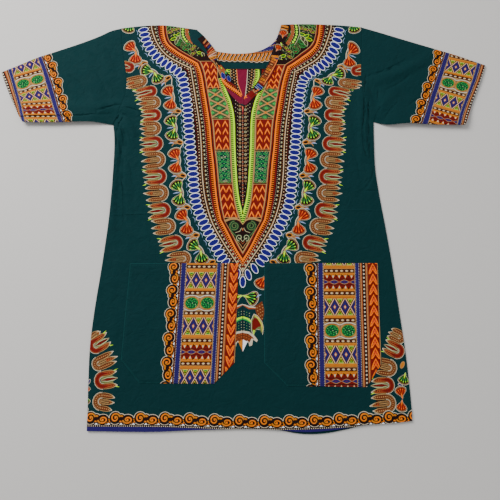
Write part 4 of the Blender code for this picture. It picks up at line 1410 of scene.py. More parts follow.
# ---------------------------------------------------------------------------------------------------------------------
# Back panel. The same cotton, flat on the table with its right side down, so that its yoke and hem border face the
# table. Inside the V its wrong side shows, with the yoke's middle stripe and dotted bands printed through.
# ---------------------------------------------------------------------------------------------------------------------
BACK_HEM = FRONT_HEM - np.column_stack(
    [
        np.zeros(len(FRONT_HEM)),
        np.interp(FRONT_HEM[:, 0], (-0.292, 0.06, 0.1, 0.19, 0.22, 0.318), (0, 0, 0.003, 0.003, 0, 0)),
    ]
)


def back_over(points):
    return SHOWN_CLOTH + turned_hem(points, BACK_HEM, HEM_DEPTH, HEM_STEP)


def back_under(points):
    return np.zeros(len(points))


def back_middle():
    """The yoke's middle above the point where the front is cut away."""
    drawn = [("maroon", np.array([(-62, 250), (62, 250), (72, 372), (-72, 372)], float))]
    for side in (-1, 1):
        panel = np.array([(38, 250), (64, 250), (76, 372), (52, 372), (42, 330)], float) * (side, 1)
        drawn.append(("crimson", panel))
        for y in np.arange(296, 365, 14):
            arrow = vee(16, 11, 4.6, (-8, 0)) @ np.array([[0, 1], [-side, 0]])
            drawn.append(("orange", arrow + (side * 52, y)))
        rope = smooth_curve(((25, 272), (28, 286), (32, 300), (32, 319), (35, 345), (47, 376))) * (side, 1)
        drawn += [("tan", strip(rope, 5.4 * side, 7.0 * side))] + comb(rope, "lime", "dark_green", side)
        for x, shade, size in ((14.0, "sage", 2.2), (18.5, "tan", 3.4), (23.0, "sage", 2.2)):
            dots = np.array([(side * (x - 8), 252), (side * x, 300), (side * (x + 2), 372)], float)
            drawn += beads(smooth_curve(dots), 6.2, 0, size, shade, 0.2 if x == 18.5 else 0.7)
        dots = smooth_curve(((side * 8, 252), (side * 18.5, 300), (side * 20.5, 372)))
        drawn += beads(dots, 6.2, 0, 1.5, "maroon", 0.2)
    drawn += [("salmon", np.array([(-14.4, 372), (-14.2, 318), (-11.2, 284), (0.6, 250), (3, 250), (-4, 372)], float))]
    drawn += [("cream", np.array([(4, 250), (5.4, 250), (9.4, 284), (11.4, 318), (12.4, 372), (2, 372)], float))]
    stripe = [(-13, 372), (-12.6, 318), (-9.6, 284), (2, 250), (4, 250), (8, 284), (10, 318), (11, 372)]
    return drawn + [("wine", np.array(stripe, float))]


back_motifs = on_cloth(yoke() + back_middle()) + [(ink, shape * MM) for ink, shape in hem_border()]
back = thin_shell(
    "back_cloth",
    outline_of("back_panel"),
    back_over,
    back_under,
    on_cloth(back_middle()),
    back_motifs,
    "green_ground",
    "green_ground",
    spacing=0.012,
    back_spacing=0.008,
)
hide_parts("back_panel")

# ---------------------------------------------------------------------------------------------------------------------
# Neck bands. A narrow strip of the same cloth down each side of the V, sewn to the neck's edge, turned out over the
# front and stitched down.
# ---------------------------------------------------------------------------------------------------------------------
BAND_OUTLINES = {side: outline_of("neck_band_" + side) for side in ("left", "right")}
BAND_EDGES = {side: np.vstack([outline, outline[:1]]) for side, outline in BAND_OUTLINES.items()}


band_away = {side: measure(edge) for side, edge in BAND_EDGES.items()}


def band_over(points):
    away = np.minimum(band_away["left"](points), band_away["right"](points))
    return front_over(points) + SEAM_GAP + SHOWN_CLOTH + 0.0004 + rolled(away, 0.0006, 0.002) + stitched(
        away, 0.0024, points, 0.0002,
    )


def band_under(points):
    return front_over(points) + SEAM_GAP * 0.6


LEFT_FOLD = smooth_curve((
    (-101, 407), (-87, 394), (-73, 376), (-62, 361), (-55, 341), (-46, 322), (-33, 307), (-22, 288), (-10, 267),
    (1, 252),
))
RIGHT_FOLD = smooth_curve((
    (81, 419), (77, 401), (69, 378), (63, 362), (58, 341), (48, 319), (35, 297), (22, 275), (11, 262), (1, 252),
))


def patch_on(curve, first, last, inner, outer, ink, slant=0.0):
    """A patch of a band between two fractions of its fold's length and two distances from the fold."""
    ends = along(curve, np.linspace(first, last, 4))
    way = (ends[-1] - ends[0]) / np.hypot(*(ends[-1] - ends[0]))
    out = np.array([-way[1], way[0]])
    return (ink, np.vstack([ends + out * inner, ends[::-1] + out * outer + way * slant]))


left_print = [("green_ground", strip(LEFT_FOLD, -32, 3))]
left_print += [patch_on(LEFT_FOLD, a, b, 3, c, ink, d) for a, b, c, ink, d in (
    (0.1, 0.5, -15, "maroon", 2),
    (0.15, 0.175, -12, "rust", 5),
    (0.155, 0.165, -10, "tan", 5),
    (0.2, 0.235, -14, "crimson", 3),
    (0.212, 0.22, -11, "tan", 4),
    (0.235, 0.255, -11, "indigo", 4),
    (0.27, 0.28, -14, "tan", 4),
    (0.285, 0.33, -18, "crimson", 4),
    (0.302, 0.308, -15, "salmon", 5),
    (0.33, 0.342, -20, "tan", 4),
    (0.345, 0.4, -22, "rust", 4),
    (0.355, 0.362, -18, "cream", 6),
    (0.378, 0.384, -20, "maroon", 6),
    (0.392, 0.4, -22, "cream", 2),
    (0.4, 0.44, -24, "gold", 0),
    (0.415, 0.423, -22, "maroon", 2),
    (0.44, 0.452, -26, "indigo", 0),
    (0.455, 0.53, -26, "maroon", 0),
    (0.53, 0.64, -26, "rust", 0),
)]
for x, y, ink in (
    (-60, 341, "tan"), (-55, 336, "sage"), (-63, 333, "rust"), (-57, 327, "tan"), (-52, 321, "orange"),
    (-56, 315, "sage"), (-50, 311, "tan"), (-47, 317, "lime"), (-45, 306, "leaf_green"),
):
    left_print += place([("maroon", oval(7.5, 3.4, 8)), (ink, oval(6.2, 1.8, 8))], (x, y), (0.5, -0.86))
outer_line = smooth_curve(((-70, 338), (-60, 326), (-53, 311), (-47, 290)))
left_print += [("tan", strip(outer_line, -0.8, 0.8))]
left_rope = smooth_curve(((-48, 294), (-36, 280), (-24, 271), (-10, 261), (4, 245)))
left_print += [
    ("wine", strip(left_rope, -30, 2)), ("crimson", strip(left_rope, -4, 24)), ("maroon", strip(left_rope, 9, 30)),
]
left_print += [
    ("maroon", strip(left_rope, -5.6, 5.8)), ("orange", strip(left_rope, -1.6, 2.2)),
] + row(left_rope, 4.6, [("orange", bar(2.0, 9.0))])
left_print += place([("pale_blue", oval(16, 8.6, 12)), ("blue", oval(15.2, 7.6, 12))], (-43, 299), (0.36, -0.93))
left_print += place([("pale_blue", oval(14, 8.2, 12)), ("blue", oval(13.2, 7.2, 12))], (-31, 293), (0.36, -0.93))
left_print += place([("lime", oval(4, 3, 6)), ("leaf_green", oval(9, 3, 8))], (-38, 307), (0.36, -0.93))
left_print += [("wine", oval(23, 22, 12, (1, 246)))] + place([("orange", bar(9, 2.0))], (-7, 256), (0.5, -0.86))

right_print = [("green_ground", strip(RIGHT_FOLD, -3, 32))]
right_print += [patch_on(RIGHT_FOLD, a, b, -3, c, ink, d) for a, b, c, ink, d in (
    (0.0, 0.1, 30, "gold", 0),
    (0.02, 0.035, 30, "maroon", 3),
    (0.06, 0.075, 30, "maroon", -3),
    (0.1, 0.13, 30, "crimson", 0),
    (0.13, 0.4, 30, "maroon", 0),
    (0.4, 0.43, 30, "gold", -4),
    (0.43, 0.47, 30, "blue", -6),
    (0.47, 0.49, 30, "cream", -6),
    (0.49, 0.8, 30, "crimson", 0),
)]
right_print += fan((84, 388), (0.1, 1), 17, *RED_FAN) + fan(
    (80, 376), (0.3, -1), 16, *GREEN_FAN,
) + fan((70, 356), (0.5, 0.9), 15, *RED_FAN)
woven = smooth_curve(((66, 340), (56, 318), (46, 300), (36, 283)))
right_print += [
    ("maroon", strip(woven, -30, 30)), ("crimson", strip(woven, 9.5, 30)), ("tan", strip(woven, -9.4, -7.2)),
    ("salmon", strip(woven, 6.2, 8.4)), ("rust", strip(woven, -6.2, 5.4)),
]
for k, spot in enumerate(along(woven, (np.arange(10) + 0.5) / 10)):
    way = along(woven, [0.9])[0] - along(woven, [0.1])[0]
    piece = (("gold", "rust", "brown", "rust")[k % 4], bar(5.0, 11.0))
    right_print += place(
        [
            ("maroon", bar(6.6, 12.4)), piece,
            (("brown", "gold", "tan", "maroon")[k % 4], bar(1.8, 5.0, (0, -2 + k % 4))),
        ],
        spot, way,
    )
right_print += place(
    [
        ("maroon", bar(19, 30)), ("pale_blue", bar(6.4, 15, (-4, 0))), ("blue", bar(4.8, 14, (-4, 0))),
        ("pale_blue", bar(1.4, 13, (2.4, -2))),
    ],
    (32, 272), (-0.62, -0.78),
)
for dx, dy in ((-5, -5), (3, 2), (-3, 4), (4, -4), (-1, 0), (7, 5), (-8, 0), (-9, -7)):
    right_print += place([("vermilion", bar(5.4, 1.8)), ("tan", bar(1.8, 4.2))], (24 + dx, 263 + dy), (-0.62, -0.78))
right_print += [patch_on(RIGHT_FOLD, 0.885, 1.06, -3, 30, "wine"), patch_on(RIGHT_FOLD, 0.885, 1.06, -1, 22, "crimson")]
right_print += [("wine", oval(27, 24, 12, (2, 246)))]
right_print += [
    ("orange", ribbon([(8, 262), (4, 252), (0, 246)], (1, 4, 1))),
    ("orange", ribbon([(-2, 256), (8, 250)], (1, 1.6))),
]
for side, motifs, ground in (("left", left_print, "green_ground"), ("right", right_print, "maroon")):
    band = thin_shell(
        "neck_band_" + side + "_cloth",
        BAND_OUTLINES[side],
        band_over,
        band_under,
        [(ink, shape * MM) for ink, shape in motifs],
        [],
        ground,
        "wine",
        spacing=0.004,
        guides=edge_guides(BAND_EDGES[side], (0.0005, 0.0011, 0.0018, 0.0024, 0.0031, 0.0045), 0.0015),
    )
    stitches(
        "neck_band_" + side + "_stitches", [seam_line(BAND_EDGES[side], 0.0024)], band_over,
        0.0026, 0.0019, 0.0004,
    )
    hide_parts("neck_band_" + side)


# ---------------------------------------------------------------------------------------------------------------------
# Pockets. Two patches of the same cotton, cut so that the cloth's border runs down each, with the mouth turned in and
# the bottom corners cut off, topstitched to the front down the sides and along the bottom.
# ---------------------------------------------------------------------------------------------------------------------
REPEAT = 190


def box(u0, u1, v0, v1):
    """A rectangle of a border, with corners enough to follow a bent one."""
    along_v = np.linspace(v0, v1, max(2, int(abs(v1 - v0) / 12) + 2))
    left = np.column_stack([np.full(len(along_v), u0), along_v])
    right = np.column_stack([np.full(len(along_v), u1), along_v[::-1]])
    return np.vstack([left, right])


def bead_line(v, u0=37.5, u1=96, count=6):
    pitch = (u1 - u0) / count
    drawn = [("maroon", box(u0, u1, v - 3.8, v + 3.8))]
    for i in range(count):
        u = u0 + (i + 0.5) * pitch
        drawn += [("tan", oval(6.8, 4.6, 8, (u, v))), ("cream", oval(4.6, 2.6, 7, (u - 0.3, v)))]
        drawn += [
            ("crimson", clipped(oval(2.0, 1.8, 5, (u + pitch / 2, v + 1.8)))),
            ("crimson", clipped(oval(2.0, 1.8, 5, (u + pitch / 2, v - 1.8)))),
        ]
    return drawn


def orange_line(v, half):
    return [
        ("tan", box(37.5, 96, v - half, v + half)), ("gold", box(37.5, 96, v - half * 0.82, v + half * 0.82)),
        ("rust", box(37.5, 96, v + half * 0.34, v + half * 0.52)),
    ]


def diamond_rows(v0, v1):
    """Blue diamonds between yellow triangles, with pale crossed lines."""
    drawn = [("indigo", box(37.5, 96, v0, v1))]
    pitch = 19.5
    middle, half = (v0 + v1) / 2, (v1 - v0) / 2
    for i in range(-1, 4):
        u = 47.5 + i * pitch
        for a, b in (((u - 8.6, v0), (u + 8.6, v1)), ((u + 8.6, v0), (u - 8.6, v1))):
            drawn += [
                ("maroon", clipped(ribbon([a, b], (3.8, 3.8)))), ("gold", clipped(ribbon([a, b], (2.0, 2.0)))),
                ("cream", clipped(ribbon([a, b], (1.1, 1.1)))),
            ]
        for sign in (-1, 1):
            drawn.append((
                "maroon",
                clipped([(u - 7.0, middle + sign * half), (u + 7.0, middle + sign * half), (u, middle + sign * 2.6)]),
            ))
            drawn.append((
                "yellow",
                clipped([(u - 5.6, middle + sign * half), (u + 5.6, middle + sign * half), (u, middle + sign * 5.2)]),
            ))
            drawn.append((
                "leaf_green",
                clipped([
                    (u - 4.0, middle + sign * (half - 1.2)), (u + 4.0, middle + sign * (half - 1.2)),
                    (u, middle + sign * 7.4),
                ]),
            ))
            drawn.append(("maroon", clipped(oval(4.8, 6.0, 7, (u, middle + sign * (half - 4.8))))))
            drawn.append(("lime", clipped(oval(1.8, 2.2, 5, (u, middle + sign * (half - 4.4))))))
        drawn += [
            ("gold", clipped(diamond(5.4, 9.0) + (u + pitch / 2, middle))),
            ("cream", clipped(diamond(2.8, 4.6) + (u + pitch / 2, middle))),
        ]
    return drawn


def clipped(shape, u0=37.5, u1=96):
    shape = np.array(shape, float)
    shape[:, 0] = np.clip(shape[:, 0], u0, u1)
    return shape


def oval_rows(v0, v1):
    """Two green ovals between two wavy white lines."""
    middle = (v0 + v1) / 2
    drawn = [
        ("tan", box(37.5, 96, v0, v1)), ("rust", box(37.5, 96, middle - 12.6, middle + 12.6)),
        ("tan", box(37.5, 96, middle - 11.6, middle + 11.6)),
    ]
    for sign in (-1, 1):
        line = smooth_curve(
            [
                (37.5, middle + sign * 11.5), (46, middle + sign * 14.6), (58, middle + sign * 14.4),
                (66.7, middle + sign * 11.2), (75, middle + sign * 14.4), (88, middle + sign * 14.6),
                (96, middle + sign * 11.5),
            ],
            4,
        )
        drawn += [("maroon", ribbon(line, np.full(len(line), 3.6))), ("cream", ribbon(line, np.full(len(line), 2.2)))]
    for u in (51.5, 82):
        drawn += [
            ("gold", oval(28.4, 25.0, 16, (u, middle))), ("maroon", oval(26.2, 23.6, 16, (u, middle))),
            ("leaf_green", oval(25, 22.4, 16, (u, middle))),
        ]
        drawn += [("dark_green", oval(23.4, 20.8, 16, (u, middle)))]
        for k in range(19):
            angle, reach = k * 2.4, 1.4 + 2.15 * math.sqrt(k)
            spot = (u + reach * math.cos(angle) * 1.06, middle + reach * math.sin(angle) * 0.92)
            drawn += [("leaf_green", oval(3.2, 2.6, 6, spot))]
            if k % 4 == 0:
                drawn += [("mint" if k % 8 else "cream", oval(1.7, 1.3, 5, spot))]
    drawn += [("maroon", box(65.6, 67.9, middle - 9, middle + 9)), ("tan", box(66.1, 67.4, middle - 8, middle + 8))]
    return drawn


def zigzag(v0, v1, sign):
    """A row of gold triangles with pale tips, over crimson. sign is 1 where they point up the cloth."""
    drawn = [("crimson", box(37.5, 96, v0, v1))]
    low, high = (v0, v1) if sign > 0 else (v1, v0)
    for i in range(5):
        u = 43.4 + i * 11.7
        drawn.append(("gold", clipped([(u - 5.8, low), (u + 5.8, low), (u, high)])))
        drawn.append((
            "gold",
            clipped([
                (u - 6.2, low), (u + 6.2, low), (u + 6.2, low + (high - low) * 0.3),
                (u - 6.2, low + (high - low) * 0.3),
            ]),
        ))
        drawn.append((
            "cream",
            clipped([
                (u - 1.9, low + (high - low) * 0.4), (u + 1.9, low + (high - low) * 0.4),
                (u, low + (high - low) * 0.94),
            ]),
        ))
        drawn.append((
            "maroon",
            clipped([
                (u + 3.6, low + (high - low) * 0.16), (u + 8.1, low + (high - low) * 0.16),
                (u + 5.85, low + (high - low) * 0.7),
            ]),
        ))
        drawn.append(("vermilion", clipped(oval(2.2, 1.6, 6, (u, low + (high - low) * 0.16)))))
    return drawn


def lens_line(v):
    drawn = [
        ("crimson", box(37.5, 96, v - 6.5, v + 6.5)), ("maroon", box(37.5, 96, v - 6.4, v - 5.2)),
        ("maroon", box(37.5, 96, v + 5.2, v + 6.4)),
    ]
    for i in range(4):
        u = 37.5 + i * 19.5
        lens = smooth_curve([(u - 10.2, v), (u, v - 4.6), (u + 10.2, v)], 5)
        lens = np.vstack([lens, (lens * (1, -1) + (0, 2 * v))[::-1]])
        middle = np.array((u, v))
        drawn += [
            ("tan", clipped(lens)), ("indigo", clipped((lens - middle) * (0.88, 0.76) + middle)),
            ("wine", clipped(oval(5, 1.2, 6, (u, v)))),
        ]
    return drawn


def border(first, last, arrows=1):
    """The cloth's border: u runs in from its wavy edge and v along it, between two places along the cloth."""
    edge = box(0, 0, first, last)[: max(2, int((last - first) / 12) + 2)]
    edge = along(edge, np.linspace(0, 1, 40))
    drawn = scroll(edge, phase=first)
    drawn += [
        ("maroon", box(26.4, 37.5, first, last)), ("indigo", box(27.0, 35.6, first, last)),
        ("tan", box(36.8, 37.5, first, last)),
    ]
    drawn += beads(np.column_stack([np.full(40, 26.9), np.linspace(first, last, 40)]), 3.2, 0, 1.3, "cream")
    drawn += beads(np.column_stack([np.full(40, 36.0), np.linspace(first, last, 40)]), 3.2, 0, 1.5, "cream")
    for k in range(math.floor(first / REPEAT), math.ceil(last / REPEAT) + 1):
        v = k * REPEAT
        rows = [
            bead_line(v),
            orange_line(v + 7.4, 3.7),
            diamond_rows(v + 11, v + 43),
            orange_line(v + 46.5, 3.6),
            bead_line(v + 52.6),
            oval_rows(v + 56.2, v + 89.2),
            bead_line(v + 92.8),
            orange_line(v + 98.6, 2.8),
            diamond_rows(v + 101.4, v + 134.6),
            orange_line(v + 138.4, 3.8),
            bead_line(v + 146),
            orange_line(v + 150.6, 1.0),
            zigzag(v + 151.4, v + 161.4, 1),
            lens_line(v + 168),
            zigzag(v + 174.4, v + 184.4, -1),
            orange_line(v + 185.3, 1.0),
        ]
        for layers in rows:
            low = min(shape[:, 1].min() for _, shape in layers)
            high = max(shape[:, 1].max() for _, shape in layers)
            if high > first - 2 and low < last + 2:
                drawn += layers
    line = np.linspace(first, last, 40)

    def column(u):
        return np.column_stack([np.full(40, u), line])

    drawn += [
        ("maroon", box(96, 122.4, first, last)), ("tan", box(96, 97.2, first, last)),
        ("indigo", box(98, 104.6, first, last)),
    ]
    drawn += beads(column(98.2), 3.2, 0, 1.2, "pale_blue", 0.0) + beads(column(104.6), 3.2, 0, 1.5, "cream")
    drawn += [
        ("rust", box(106.4, 110.6, first, last)), ("tan", box(107.4, 108.8, first, last)),
        ("maroon", box(111.0, 116.6, first, last)),
    ]
    drawn += row(column(113.8), 7.4, [("cream", oval(4.2, 3.4, 7))])
    drawn += [("rust", box(117.0, 121.6, first, last)), ("tan", box(118.2, 119.6, first, last))]
    drawn += [("crimson", box(122.2, 140.0, first, last)), ("tan", box(140.0, 141.2, first, last))]
    for k in range(math.floor(first / 20.5), math.ceil(last / 20.5) + 1):
        at = (131.2, k * 20.5)
        head = np.array([
            (13, 0), (5, 4.4), (-2, 7.2), (-9, 8.4), (-8.6, 5.0), (-4, 2.2), (0, 0), (-4, -2.2), (-8.6, -5.0),
            (-9, -8.4), (-2, -7.2), (5, -4.4),
        ])
        drawn += place([("orange", head), ("vermilion", head * (0.62, 0.52) + (2.4, 0))], at, (0, arrows))
        for x, y in ((1.5, 2.8), (-3.5, 5.2), (6.0, 0.6)):
            for side in (-1, 1):
                drawn += place([("crimson", oval(2.6, 1.1, 6, (x, side * y)))], at, (0, arrows))
    return drawn


def laid_on(motifs, to_plan):
    """A border's motifs in plan."""
    return [(ink, to_plan(shape) * MM) for ink, shape in motifs]


def pocket_part(points, table):
    """How far across and down a pocket points are."""
    across_left, across_right, mouth, bottom = table
    return (points[:, 0] - across_left) / (across_right - across_left), (mouth - points[:, 1]) / (mouth - bottom)


def sheared(start, end, along_u, pull):
    """Puts (u, v) on a line from start to end, with u measured from it and v pulled a little longer."""
    start, end = np.array(start, float), np.array(end, float)
    down = (end - start) / np.hypot(*(end - start))
    return lambda shape: start + shape[:, :1] * along_u + shape[:, 1:] * down * pull


for side, table, motifs in (
    (
        "left", (-0.23, -0.012, -0.102, -0.334),
        laid_on(border(-10, 242), sheared((-148.4, -109.2), (-159.4, -350), np.array((1.0, 0.0)), 0.986)),
    ),
    (
        "right", (0.041, 0.267, -0.102, -0.34),
        laid_on(border(126, 380, -1), sheared((122, 28.2), (119, -300), np.array((1.035, 0.0)), 0.9985)),
    ),
):

    outline = outline_of("pocket_" + side)
    pocket_edge = np.vstack([outline, outline[:1]])
    pocket_away = measure(pocket_edge)
    mouth = outline[:, 1].max()

    def pocket_over(points):
        across, down = pocket_part(points, table)
        gape = 0.0012 * np.sin(math.pi * np.clip(across, 0, 1)) * (1 - smoothstep(down / 0.5))
        turned = 0.0005 * smoothstep((points[:, 1] - mouth + 0.0265) / 0.0022)
        away = pocket_away(points)
        sewn = stitched(away, 0.0026, points, 0.00026) + stitched(mouth - points[:, 1], 0.024, points, 0.0003)
        return front_over(points) + SEAM_GAP + SHOWN_CLOTH + 0.0004 + gape + turned + rolled(
            away, 0.0008, 0.0022,
        ) + sewn

    def pocket_under(points):
        across, down = pocket_part(points, table)
        gape = 0.0012 * np.sin(math.pi * np.clip(across, 0, 1)) * (1 - smoothstep(down / 0.5))
        return front_over(points) + SEAM_GAP * 0.6 + gape

    left_end, right_end = outline[outline[
        :, 1,
    ] > mouth - 0.03].min(axis=0)[0], outline[outline[:, 1] > mouth - 0.03].max(axis=0)[0]
    mouth_line = np.column_stack([np.linspace(left_end + 0.004, right_end - 0.004, 60), np.full(60, mouth - 0.024)])
    guides = edge_guides(pocket_edge, (0.0004, 0.0009, 0.0015, 0.0022, 0.0029, 0.004), 0.002)
    guides += edge_guides(mouth_line, (-0.0025, -0.001, 0.0, 0.001, 0.0025), 0.003)
    # a strip of lighter green, 1 mm wide, round the pocket's edge
    edge_strip = ("pocket_edge_green", np.vstack([pocket_edge, beside(pocket_edge, 0.001)[::-1]]))
    pocket = thin_shell(
        "pocket_" + side + "_cloth",
        outline,
        pocket_over,
        pocket_under,
        [edge_strip] + motifs,
        [],
        "green_ground",
        "green_ground",
        guides=guides,
    )
    sides_line = seam_line(pocket_edge, 0.0026, lambda p: p[:, 1] < mouth - 0.0045)
    stitches("pocket_" + side + "_stitches", [sides_line, mouth_line], pocket_over)
    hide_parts("pocket_" + side)

# ---------------------------------------------------------------------------------------------------------------------
# Back neck facing. A shaped piece cut from the cloth's border, sewn along the back neck and turned inside, with a
# straight lower edge. Its scroll band runs along the neck.
# ---------------------------------------------------------------------------------------------------------------------
def facing_over(points):
    return CLOTH + SEAM_GAP + SHOWN_CLOTH + 0.35 * ripple(points)


def facing_under(points):
    return np.full(len(points), CLOTH + SEAM_GAP)


facing_edge = smooth_curve(((95, 337), (52, 333), (38, 330.5), (2, 332), (-36, 332.5), (-60, 335), (-100, 343)))


def on_facing(shape):
    """Puts a border's (u, v) on the facing, with its wavy edge below."""
    spot = along(facing_edge, np.clip(shape[:, 1] / run_of(facing_edge)[-1], 0, 1))
    return spot + np.column_stack([np.zeros(len(shape)), shape[:, 0]])


facing_print = [("maroon", box(0, 26, 0, 190)), ("gold", box(4.0, 22, 0, 190)), ("salmon", box(23.6, 24.6, 0, 190))]
facing_print += [(ink, shape) for ink, shape in border(0, 190) if shape[:, 0].min() > 26]
wavy = np.array([(2.6 + 1.1 * math.sin(v / 11.7 * 2 * math.pi), v) for v in np.linspace(0, 190, 120)])
facing_print += [("cream", ribbon(wavy, np.full(120, 1.3)))]
for k in range(-1, 23):
    stroke = [(22, 8.4 * k), (17, 8.4 * k + 1.0), (12, 8.4 * k + 4.6), (5.0, 8.4 * k + 6.4)]
    facing_print += [
        ("maroon", ribbon(stroke, (2.2, 3.0, 2.4, 1.2))),
        ("rust", ribbon(np.array(stroke) + (0, 3.4), (0.6, 1.5, 1.3, 0.6))),
    ]
    facing_print += [
        ("cream", ribbon(np.array(stroke) + (0, 1.9), (0.4, 0.9, 0.9, 0.4))),
        ("orange", oval(2.4, 2.2, 8, (18.6, 8.4 * k + 5.6))),
    ]
facing_motifs = [(ink, on_facing(shape)) for ink, shape in facing_print]
facing_outline = outline_of("back_neck_facing")
facing = thin_shell(
    "facing_cloth",
    facing_outline,
    facing_over,
    facing_under,
    [(ink, shape * MM) for ink, shape in facing_motifs],
    [],
    "green_ground",
    "rust",
    spacing=0.004,
)
facing_line = facing_edge * MM + (0, 0.003)
facing_line = facing_line[inside(facing_outline, facing_line)][::-1]
stitches("facing_stitches", [facing_line], facing_over, 0.0026, 0.0019, 0.0004)
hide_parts("back_neck_facing")

# ---------------------------------------------------------------------------------------------------------------------
# Sleeves. Short set-in sleeves of the same cotton, cut so that the cloth's border makes the cuff. Each is a flattened
# tube, open at both ends: folded along the shoulder and springing up a little along the underarm.
# ---------------------------------------------------------------------------------------------------------------------
def split(loop, plan, corners):
    """A loop of vertices in four chains, from each corner to the next."""
    where = plan[loop]
    starts = [int(np.argmin(np.hypot(*(where - corner).T))) for corner in corners]
    loop = loop[starts[0] :] + loop[: starts[0]]
    starts = [(s - starts[0]) % len(loop) for s in starts] + [len(loop)]
    loop = loop + loop[:1]
    return [loop[a : b + 1] for a, b in zip(starts, starts[1:])]


def wound(faces, points, outward):
    """Faces, turned over if they look the wrong way."""
    faces = np.array(faces)
    a, b, c = (points[faces[:, k]] for k in range(3))
    return faces if np.cross(b - a, c - a).sum(axis=0) @ np.asarray(outward, float) > 0 else faces[:, ::-1]


def shift_in(curve, by, side):
    """A curve moved sideways, towards the tube's middle."""
    return beside(curve, side * by)


def sleeve_shell(name, arm, top, cuff, low, upper_print, lower_print):
    """A flattened tube: outer and inner walls, each of an upper and a lower sheet, welded at the folds and rims."""
    outward = math.copysign(1.0, cuff[0, 0])
    wall = SHOWN_CLOTH

    to_top, to_low, to_arm, to_cuff = (measure(curve) for curve in (top, low, arm, cuff))

    def heights(points):
        d_top, d_low, d_arm, d_cuff = (away(points) for away in (to_top, to_low, to_arm, to_cuff))
        t, s = d_top / (d_top + d_low + 1e-9), d_arm / (d_arm + d_cuff + 1e-9)
        opened = smoothstep(s / 0.3)
        lower = 0.0075 * smoothstep((t - 0.62) / 0.38) * opened
        puff = 0.0026 * np.sqrt(np.clip(np.sin(math.pi * t), 0, 1)) * opened
        soft = (4 * t * (1 - t)) ** 0.25
        upper = lower + 2 * CLOTH + SEAM_GAP + puff + (folds(points, RIDGES + CREASES) + ripple(points)) * soft
        upper = kept_above(upper, lower + 2 * wall + 0.0001)
        ply = 0.0006 * smoothstep((0.02 - d_cuff) / 0.004)
        sewn = stitched(d_cuff, 0.0185, points, 0.0003) * smoothstep(np.minimum(d_top, d_low) / 0.006)
        return lower, upper + ply + rolled(d_arm, 0.0006, 0.0026) + sewn, np.minimum(d_top, d_low)

    def wall_height(which, inner):
        def height(points):
            lower, upper, near = heights(points)
            middle = (lower + upper) / 2
            near = np.maximum(near - (wall + 0.0001) * inner, 0)
            reach = 0.0018 if inner else 0.0026
            rounded = np.sqrt(1 - (1 - np.clip(near / reach, 0, 1)) ** 2)
            edge = 0.0001 if inner else 0.00016
            level = (upper - wall * inner) if which > 0 else (lower + wall * inner)
            return middle + which * edge + (level - middle - which * edge) * rounded

        return height

    def ring(a, t, c, l):
        """The outline, anticlockwise: armhole first."""
        parts = [a[::-1], t, c, l[::-1]] if outward < 0 else [a, l, c[::-1], t[::-1]]
        return np.vstack([part[:-1] for part in parts]), [part[0] for part in parts]

    outer, outer_corners = ring(arm, top, cuff, low)
    # the inner wall stops short of both folds
    inset = wall + 0.0001
    inner_top, inner_low = shift_in(top, inset, -outward), shift_in(low, inset, outward)
    inner_arm = np.vstack([inner_top[:1], arm[2:-2], inner_low[:1]])
    inner_cuff = np.vstack([inner_top[-1:], cuff[2:-2], inner_low[-1:]])
    inside_ring, inner_corners = ring(inner_arm, inner_top, inner_cuff, inner_low)
    sheets = []
    guides = crease_guides(CREASES) + edge_guides(
        arm, [k * way for k in (0.0006, 0.0013, 0.0022, 0.0034) for way in (1, -1)], 0.003,
    )
    cuff_line = along(beside(cuff, -0.0185 * outward), np.linspace(0, 1, 200))
    if not inside(outer, cuff_line[100:101])[0]:
        cuff_line = along(beside(cuff, 0.0185 * outward), np.linspace(0, 1, 200))
    cuff_line = cuff_line[inside(outer, cuff_line) & (np.minimum(to_top(cuff_line), to_low(cuff_line)) > 0.004)]
    guides += edge_guides(cuff_line, (-0.0045, -0.0028, -0.001, 0.0, 0.001, 0.0028, 0.0045), 0.003)
    upper = cut_sheet(outer, upper_print, "green_ground", 0.006, guides)
    loop = edge_loop(upper[1], upper[0], outer[0])
    sheets.append((upper, loop, outer_corners, 1, 0))
    lower = cut_sheet(upper[0][loop], lower_print, "green_ground", 0.008)
    sheets.append((lower, edge_loop(lower[1], lower[0], outer[0]), outer_corners, -1, 0))
    inner_sheet = cut_sheet(inside_ring, [], "green_ground", 0.012)
    inner_loop = edge_loop(inner_sheet[1], inner_sheet[0], inside_ring[0])
    sheets.append((inner_sheet, inner_loop, inner_corners, 1, 1))
    sheets.append((inner_sheet, inner_loop, inner_corners, -1, 1))

    points, faces, inks, normals, chains = [], [], [], [], []
    count = 0
    for (plan, triangles, colours), edge, corners, which, inner in sheets:
        height = wall_height(which, inner)
        looks_up = which > 0 if not inner else which < 0
        turned = triangles if looks_up else triangles[:, ::-1]
        slope = slopes(height, plan) * (1 if looks_up else -1)
        points.append(np.column_stack([plan, height(plan)]))
        faces.append(turned + count)
        inks.append(colours)
        normals.append(slope[turned])
        chains.append([[i + count for i in chain] for chain in split(edge, plan, corners)])
        count += len(plan)
    points = np.vstack(points)
    names = ("arm", "top", "cuff", "low") if outward < 0 else ("arm", "low", "cuff", "top")
    centre_line = top[-1] + low[-1] - top[0] - low[0]
    centre_line = np.array([*(centre_line / np.hypot(*centre_line)), 0.0])
    cross = np.array([-centre_line[1], centre_line[0], 0.0]) * -outward
    if cross[1] < 0:
        cross = -cross
    looks = {"arm": -centre_line, "cuff": centre_line, "top": cross, "low": -cross}

    def joined(a, b, outward_way):
        strip_faces = bridge(
            a, b, run_of(points[a]) / max(run_of(points[a])[-1], 1e-9),
            run_of(points[b]) / max(run_of(points[b])[-1], 1e-9),
        )
        strip_faces = wound(strip_faces, points, outward_way)
        faces.append(strip_faces)
        inks.append(np.full(len(strip_faces), INKS.index("green_ground")))
        normals.append(np.repeat(flat_normals(points, strip_faces), 3, 0).reshape(-1, 3, 3))

